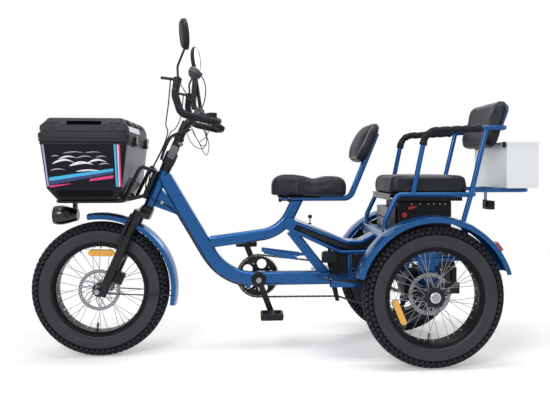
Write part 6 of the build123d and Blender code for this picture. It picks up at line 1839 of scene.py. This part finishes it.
# ---- Drivetrain -------------------------------------------------------------------------------
@dataclass
class Drivetrain:
    """Teeth, bolts, pedal reflectors and covers of the crank and the rear sprocket.

    Attributes:
        crank: Middle of the bottom bracket.
        axle: Middle of the rear axle.
        chain_y: Side offset of the chain.
        ring_radius: Pitch radius of the chainring.
        sprocket_radius: Pitch radius of the largest sprocket.
        crank_length: Length of an arm.
        crank_turn: Turn of the left arm, up from +X.
    """

    crank: Vector = field(default_factory=lambda: Vector((114, 0, 330)))
    axle: Vector = field(default_factory=lambda: Vector(REAR_AXLE))
    chain_y: float = -62
    ring_radius: float = 97
    sprocket_radius: float = 46
    crank_length: float = 152
    crank_turn: float = 249

    def tip(self, side: int) -> Vector:
        """Middle of a pedal's axle, without its side offset."""
        turn = math.radians(self.crank_turn if side > 0 else self.crank_turn - 180)
        return self.crank + Vector((math.cos(turn), 0, math.sin(turn))) * self.crank_length

    def teeth(self) -> None:
        """Teeth of the chainring and of the sprockets, made with Geometry Nodes."""
        for name, body, centre, radius, count, y in (
                ("chainring_teeth", "crank", self.crank, self.ring_radius, 48, self.chain_y),
                ("sprocket_teeth", "frame", self.axle, self.sprocket_radius, 23, self.chain_y),
                ("sprocket_teeth_inner", "frame", self.axle, self.sprocket_radius - 4, 20, self.chain_y + 6)):
            item = Shell().plate([(-2.9, -1), (2.9, -1), (1.1, 1), (-1.1, 1)],
                                 Matrix.Rotation(math.pi / 2, 4, "X"), 0.1, 0.02).build("tooth", STAINLESS)
            for vertex in item.data.vertices:
                height = (vertex.co.z / MM + 1) / 2
                wide = 1.0 if height < 0.5 else 0.38
                vertex.co = Vector((2.9 * wide * (1 if vertex.co.x > 0 else -1), vertex.co.y * 16,
                                    -7.5 + 8 * height)) * MM
                vertex.co.y = (0.9 if vertex.co.y > -0.8 * MM else -0.9) * MM
            ring_of(name, item, STAINLESS, body, Vector((centre.x, y, centre.z)), radius, count)

    def covers(self) -> None:
        """Bottom bracket disc, dust caps and the ring's screws."""
        shell = Shell()
        for side, y in ((1, 64), (-1, -92)):
            shell.lathe([(-2, 9.5), (-2, 12), (1.6, 12), (2.8, 10.5), (2.8, 4), (1.4, 3.2), (1.4, 0.2)],
                        Vector((self.crank.x, y, self.crank.z)), Vector((0, side, 0)), 30)
        shell.put("crank_caps", "crank", "steel", STAINLESS)
        shell = Shell()
        for side in (1, -1):
            shell.lathe([(30, 27.2), (30, 32), (33, 33.5), (36.5, 32), (37.5, 27), (37.5, 10)], self.crank,
                        Vector((0, side, 0)), 44)
        shell.put("bracket_cups", "frame", "black_metal", ANODISED_BLACK)
        heads = []
        for k in range(5):
            turn = math.radians(self.crank_turn + 36 + 72 * k)
            heads.append(Screw((self.crank.x + 62 * math.cos(turn), self.chain_y + 2.1,
                                self.crank.z + 62 * math.sin(turn)), (0, 1, 0), 4.4))
        screws("chainring_screws", heads, STAINLESS, "crank")

    def pedals(self) -> None:
        """Amber reflectors, end caps and grip pins of both pedals."""
        for side, name in SIDES:
            body = f"{name}_pedal"
            tip = self.tip(side)
            start = 78 if side > 0 else -106
            middle = start + side * 46
            shell = Shell()
            for reach in (1, -1):
                place = frame_at((tip.x + reach * 47.6, middle, tip.z), (reach, 0, 0))
                shell.plate(rounded(54, 15, 3), place, 2.6, 0.8)
            shell.put(f"pedal_{name}_reflectors", body, "red_lens", AMBER)
            cap = Shell().lathe([(-3, 11), (0, 11), (3.4, 9.6), (4.4, 6), (4.6, 0.3)],
                                Vector((tip.x, start + side * 92, tip.z)), Vector((0, side, 0)), 28)
            cap.put(f"pedal_{name}_cap", body, "black_plastic", BLACK_NYLON)
            heads = [Screw((tip.x + x, middle + y, tip.z + up * 13), (0, 0, up), 2.0)
                     for x in (-42, 42) for y in (-34, -12, 12, 34) for up in (1, -1)]
            screws(f"pedal_{name}_pins", heads, STAINLESS, body)

    def build(self) -> None:
        """Make every piece of the drivetrain."""
        self.teeth()
        self.covers()
        self.pedals()


# ---- Frame fittings ---------------------------------------------------------------------------
@dataclass
class Fittings:
    """Ribs, tread, clamps, caps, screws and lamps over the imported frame.

    Attributes:
        beam: Run of the ribbed beam's top plate, in X and Z, without its rear slope.
        beam_half: Half width of the ribs.
        deck_x: Rear and front end of the decks' tread.
        deck_y: Inner and outer edge of the tread.
        deck_top: Top of the decks.
    """

    beam: tuple[tuple[float, float], tuple[float, float]] = ((-42, 602), (-272, 503.5))
    beam_half: float = 44
    deck_x: tuple[float, float] = (-390, -160)
    deck_y: tuple[float, float] = (62, 196)
    deck_top: float = 0.0

    def ribs(self) -> None:
        """Cross ribs on the beam and the tread of the decks."""
        (x0, z0), (x1, z1) = self.beam
        run = Vector((x1 - x0, 0, z1 - z0))
        slope = math.atan2(run.z, -run.x)
        item = Shell().plate(rounded(5, 2 * self.beam_half, 2.2, 3), Matrix.Identity(4), 2.6, 1.1).build(
            "beam_rib", CANDY_BLUE)
        row_of("beam_ribs", item, CANDY_BLUE, 22, Vector((x0, 0, z0 - 0.8)), run / 21, (0, slope, 0))
        for side, hand in SIDES:
            width = self.deck_y[1] - self.deck_y[0]
            middle = side * sum(self.deck_y) / 2
            item = Shell().plate(rounded(4, width - 8, 1.8, 3), Matrix.Identity(4), 2.2, 0.8).build(
                "deck_rib", CANDY_BLUE)
            row_of(f"deck_tread_{hand}", item, CANDY_BLUE, 20,
                   Vector((self.deck_x[0] + 8, middle, self.deck_top - 0.5)), AHEAD * 11)

    def beam_cover(self) -> None:
        """Black filler between the beam's tubes, the cover below them and the lock knob on top."""
        shell = Shell()
        for side in (1, -1):
            place = frame_at((0, side * 28, 0), (0, side, 0), (-1, 0, 0))
            turn = place.inverted()
            for outline in (((-40, 581), (-266, 490), (-282, 472), (-257, 459), (-171, 497), (-53, 546)),
                            ((-186, 446), (-298, 444), (-298, 345), (-214, 345))):
                flat = anticlockwise([turn @ Vector((x, side * 28, z)) for x, z in outline])
                shell.plate([(p.x, p.y) for p in flat], place, 3, 0.9)
        shell.put("beam_fillers", "frame", "black_plastic", BLACK_NYLON)
        knob = Shell().lathe([(-34, 4), (-31, 8), (-29, 8), (-28, 2.6), (-7, 2.6), (-6, 7), (-2, 9.5), (4, 9.5), (8, 7),
                              (9, 0.4)], Vector((-119, 0, 606)), UPWARD, 24)
        knob.put("beam_knob", "frame", "black_plastic", BLACK_NYLON)

    def rear_covers(self) -> None:
        """Painted shade in the battery's seam and vents, the battery's screws, controller fins and screws, and the tail
        lamp's prisms and back.
        """
        # The seam is a thin near-black tube round the battery's lid: painted shade in its groove.
        seam = bent([(-616, 120.4, 633), (-494.6, 120.4, 633), (-494.6, -120.4, 633), (-739.4, -120.4, 633),
                     (-739.4, 120.4, 633), (-612, 120.4, 633)], [12.4, 12.4, 12.4, 12.4], 8)
        ride(Shell().sweep(seam, 1.2, 8).build("battery_seam", PAINTED_SHADE), "frame")
        heads = [Screw((x, 120, 668), (0, 1, 0), 3.6) for x in (-556, -594, -632, -656, -684, -708)]
        heads += [Screw((x, 120, 570), (0, 1, 0), 3.0) for x in (-520, -600, -700)]
        heads += [Screw((x, -120, 668), (0, -1, 0), 3.6) for x in (-556, -632, -708)]
        screws("battery_screws", heads, STAINLESS, "frame")
        # The vents are near-black slot plates: painted shade in the vent slots.
        for side, hand in SIDES:
            item = Shell().plate(rounded(3, 34, 1.4, 3), frame_at(ORIGIN, (0, side, 0), AHEAD), 1.6, 0.6)
            row_of(f"battery_vents_{hand}", item.build("vent", PAINTED_SHADE), PAINTED_SHADE, 9,
                   Vector((-720, side * 119.4, 602)), AHEAD * 8)
        item = Shell().plate(rounded(4, 70, 1.8, 3), frame_at(ORIGIN, AHEAD, UPWARD), 3, 1.2)
        row_of("controller_fins", item.build("fin", ANODISED_GREY), ANODISED_GREY, 13,
               Vector((-450.6, -96, 606)), LEFTWARD * 16)
        heads = [Screw((-450, y, z), (1, 0, 0), 3.0) for y in (-104, 104) for z in (568, 646)]
        screws("controller_screws", heads, STAINLESS, "frame")
        lamp = Shell().plate(rounded(74, 30, 6), frame_at((-965, 0, 656), (-1, 0, 0)), 2.4, 1.0)
        for y in (-28, -14, 0, 14, 28):
            lamp.plate(rounded(1.4, 24, 0.6, 2), frame_at((-967.2, y, 656), (-1, 0, 0)), 1.0, 0.3)
        lamp.put("tail_lamp_prisms", "frame", "red_lens", RED_LENS)
        bracket = Shell().plate(rounded(40, 34, 5), frame_at((-938.8, 0, 664), (1, 0, 0)), 8, 1.4)
        bracket.put("tail_lamp_back", "frame", "black_plastic", BLACK_NYLON)

    def axle_screws(self) -> None:
        """Screws of the calipers, the rear fenders and the decks."""
        x, _, z = REAR_AXLE
        heads = []
        for side in (1, -1):
            heads += [Screw((x - dx, side * 270.2, z + dz), (0, side, 0), 4.2) for dx, dz in ((80, 12), (112, 38))]
            heads += [Screw((x - dx, side * 242, z + 100), (0, -side, 0), 4.0) for dx in (52, 100)]
            heads += [Screw((px, side * 190, self.deck_top - 0.4), (0, 0, 1), 4.0) for px in (-380, -190)]
        screws("carrier_screws", heads, STAINLESS, "frame")

    def seat_clamp(self) -> None:
        """Clamp blocks and rails under the saddle, and the screws of the blocks and of the rider's rest."""
        shell = Shell()
        for x in (10, -30):
            shell.plate(rounded(34, 34, 6), frame_at((x, 0, 690.6), (1, 0, 0)), 14, 2.4)
        for y in (21, -21):
            line = bent([(28, y * 0.6, 701), (8, y, 696), (-150, y, 696), (-190, y * 1.6, 702)], [14, 14], 5)
            shell.sweep(line, 3.6, 12)
        shell.put("saddle_clamp", "frame", "black_metal", POWDER_BLACK)
        heads = [Screw((x + 7, y, 690.6), (0, 1 if y > 0 else -1, 0), 3.4) for x in (10, -30) for y in (17, -17)]
        lean = Vector((-122, 0, 281.3)).normalized()
        back = Vector((-lean.z, 0, lean.x))
        for share in (0.62, 0.86):
            place = Vector(REST_POST[0]).lerp(Vector(REST_POST[1]), share) + back * 13
            heads.append(Screw(tuple(place), tuple(back), 4.0))
        screws("saddle_screws", heads, STAINLESS, "frame")

    def guard(self) -> None:
        """Blue guard plate on the left of the strut."""
        place = frame_at((96, 58, 468), (0, 1, 0), (-1, 0, 0))
        Shell().plate([(4, -20), (152, -50), (150, -34), (0, 0)], place, 3, 0.8).put(
            "guard_plate", "frame", "frame_paint", CANDY_BLUE)

    def front_lamp(self) -> None:
        """Rim, bowls and shell of the headlight, and its side knobs."""
        centre = Vector((906, 0, 620))
        rim = Shell().lathe([(90, 33.6), (90, 38.2), (97, 39.4), (101, 38.4), (101.5, 36), (99.5, 33.6)], centre,
                            AHEAD, 56, loop=True)
        rim.put("headlight_rim", "frame", "lamp_black", LAMP_BLACK)
        bowl = Shell()
        for k in range(3):
            turn = math.radians(90 + 120 * k)
            offset = Vector((0, math.cos(turn) * 14, math.sin(turn) * 14))
            bowl.lathe([(91.6, 12), (91.9, 12), (91.2, 8), (90.6, 3), (91.5, 0.2)], centre + offset, AHEAD, 24)
        bowl.put("headlight_bowls", "frame", "alloy", POLISHED_ALLOY)
        belly = Shell().lathe([(-1, 20), (-1, 24.6), (8, 27), (24, 32), (42, 37.4), (60, 41.6), (74, 43), (86, 42.4),
                               (96, 40.4), (98, 38), (90, 34.5), (90, 20)], centre, AHEAD, 60, loop=True)
        belly.put("headlight_shell", "frame", "lamp_black", LAMP_BLACK)
        knob = Shell()
        for side in (1, -1):
            knob.lathe([(28, 4), (28, 15.5), (38, 15.5), (40.4, 13.5), (40.4, 9.5), (38.6, 8.6), (38.6, 1)],
                       centre + Vector((38, 0, 6)), Vector((0, side, 0)), 32)
            knob.lathe([(11, 2), (11, 7), (14.5, 7), (15.5, 5.5), (15.5, 1)], Vector((917, 0, 660)),
                       Vector((0, side, 0)), 20)
        knob.put("headlight_knobs", "frame", "black_plastic", BLACK_NYLON)

    def fender_edges(self) -> None:
        """Rolled bead along the fenders' edges."""
        for name, body, (x, _, z), middles, span in (
                ("rear_fender_beads", "frame", REAR_AXLE, (REAR_WHEEL_Y, -REAR_WHEEL_Y), (16, 163)),
                ("front_fender_beads", "steering", FRONT_AXLE, (0,), (82, 193))):
            shell = Shell()
            for y in (middle + edge for middle in middles for edge in (54.5, -54.5)):
                turns = [math.radians(angle) for angle in range(*span, 3)]
                shell.sweep([Vector((x + math.cos(turn) * FENDER_SKIRT_RADIUS, y,
                                     z + math.sin(turn) * FENDER_SKIRT_RADIUS)) for turn in turns], 1.9, 8)
            shell.put(name, body, "frame_paint", CANDY_BLUE)

    def bin_trim(self) -> None:
        """Folded seams, corner rivets and the dark bracket of the bin."""
        low, top = 738.3, 940.3
        shell = Shell()
        for side in (1, -1):
            for x in (-1096, -961):
                shell.plate(rounded(9, top - low - 22, 2), frame_at((x, side * 193, (low + top) / 2 - 4),
                                                                   (0, side, 0), (1, 0, 0)), 0.9, 0.3)
        shell.put("bin_seams", "frame", "bin_sheet", MILL_SHEET)
        heads = [Screw((x, side * 193.6, z), (0, side, 0), 2.4) for side in (1, -1) for x in (-1096, -961)
                 for z in (756, 836, 916)]
        screws("bin_rivets", heads, MILL_SHEET, "frame")
        bracket = Shell()
        for side in (1, -1):
            bracket.plate(rounded(24, 26, 3), frame_at((-955, side * 170, 928), (1, 0, 0)), 4, 1)
        bracket.put("bin_bracket", "frame", "black_metal", POWDER_BLACK)

    def build(self) -> None:
        """Make every fitting."""
        self.deck_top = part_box("foot_decks")[1][2] / MM
        self.ribs()
        self.beam_cover()
        self.rear_covers()
        self.axle_screws()
        self.seat_clamp()
        self.guard()
        self.front_lamp()
        self.fender_edges()
        self.bin_trim()


def paint_fenders(nodes: dict[str, bpy.types.Object]) -> None:
    """Black stays on the front fender, blue skin on both decks, and red only on the lenses' faces.

    Args:
        nodes: The frame's objects by name.
    """
    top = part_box("foot_decks")[1][2] / MM

    def stay(place: Vector, normal: Vector) -> int:
        """Thin stays lie inside the skirt or beside the fender."""
        radius = math.hypot(place.x - FRONT_AXLE[0], place.z - FRONT_AXLE[2])
        return int(radius < 305 or abs(place.y) > 57)

    def deck(place: Vector, normal: Vector) -> int:
        """Black rubber edge between the blue top and the blue underside."""
        return int(top - 16 < place.z < top - 1.0 and abs(normal.z) < 0.7 or abs(place.y) < 50)

    def lens(place: Vector, normal: Vector) -> int:
        """The tail lamp is black but for its rear face."""
        return int(place.x > -964.5 and abs(place.y) < 60 and normal.x > -0.7 and place.z > 600)

    tint_faces(nodes["front_fender"], (CANDY_BLUE, POWDER_BLACK), stay)
    tint_faces(nodes["foot_decks"], (CANDY_BLUE, BLACK_NYLON), deck)
    tint_faces(nodes["rear_lights"], (RED_LENS, BLACK_NYLON), lens)


def paint_nodes(nodes: dict[str, bpy.types.Object]) -> None:
    """Give every construction piece its finish.

    Args:
        nodes: The frame's objects by name.
    """
    for name, piece in nodes.items():
        piece.data.materials.clear()
        piece.data.materials.append(NODE_FINISHES[name].material())


def main() -> None:
    """Build the studio and dress the tricycle."""
    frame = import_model()
    nodes = frame["nodes"]
    Studio().build()
    paint_nodes(nodes)
    paint_fenders(nodes)
    wheels = [Wheel("front", "front_wheel", Vector(FRONT_AXLE), 1, 46, 91, black_hub=False)]
    wheels += [Wheel(f"rear_{hand}", f"rear_wheel_{hand}", Vector((REAR_AXLE[0], side * REAR_WHEEL_Y, REAR_AXLE[2])),
                     side, side * 258, -23) for side, hand in SIDES]
    for wheel in wheels:
        wheel.build(nodes[f"{wheel.label}_hub"])
    Seats().build()
    CargoBox().build(nodes)
    Cockpit().build()
    Drivetrain().build()
    Fittings().build()


if __name__ == "__main__":
    logging.basicConfig(level=logging.INFO)
    main()
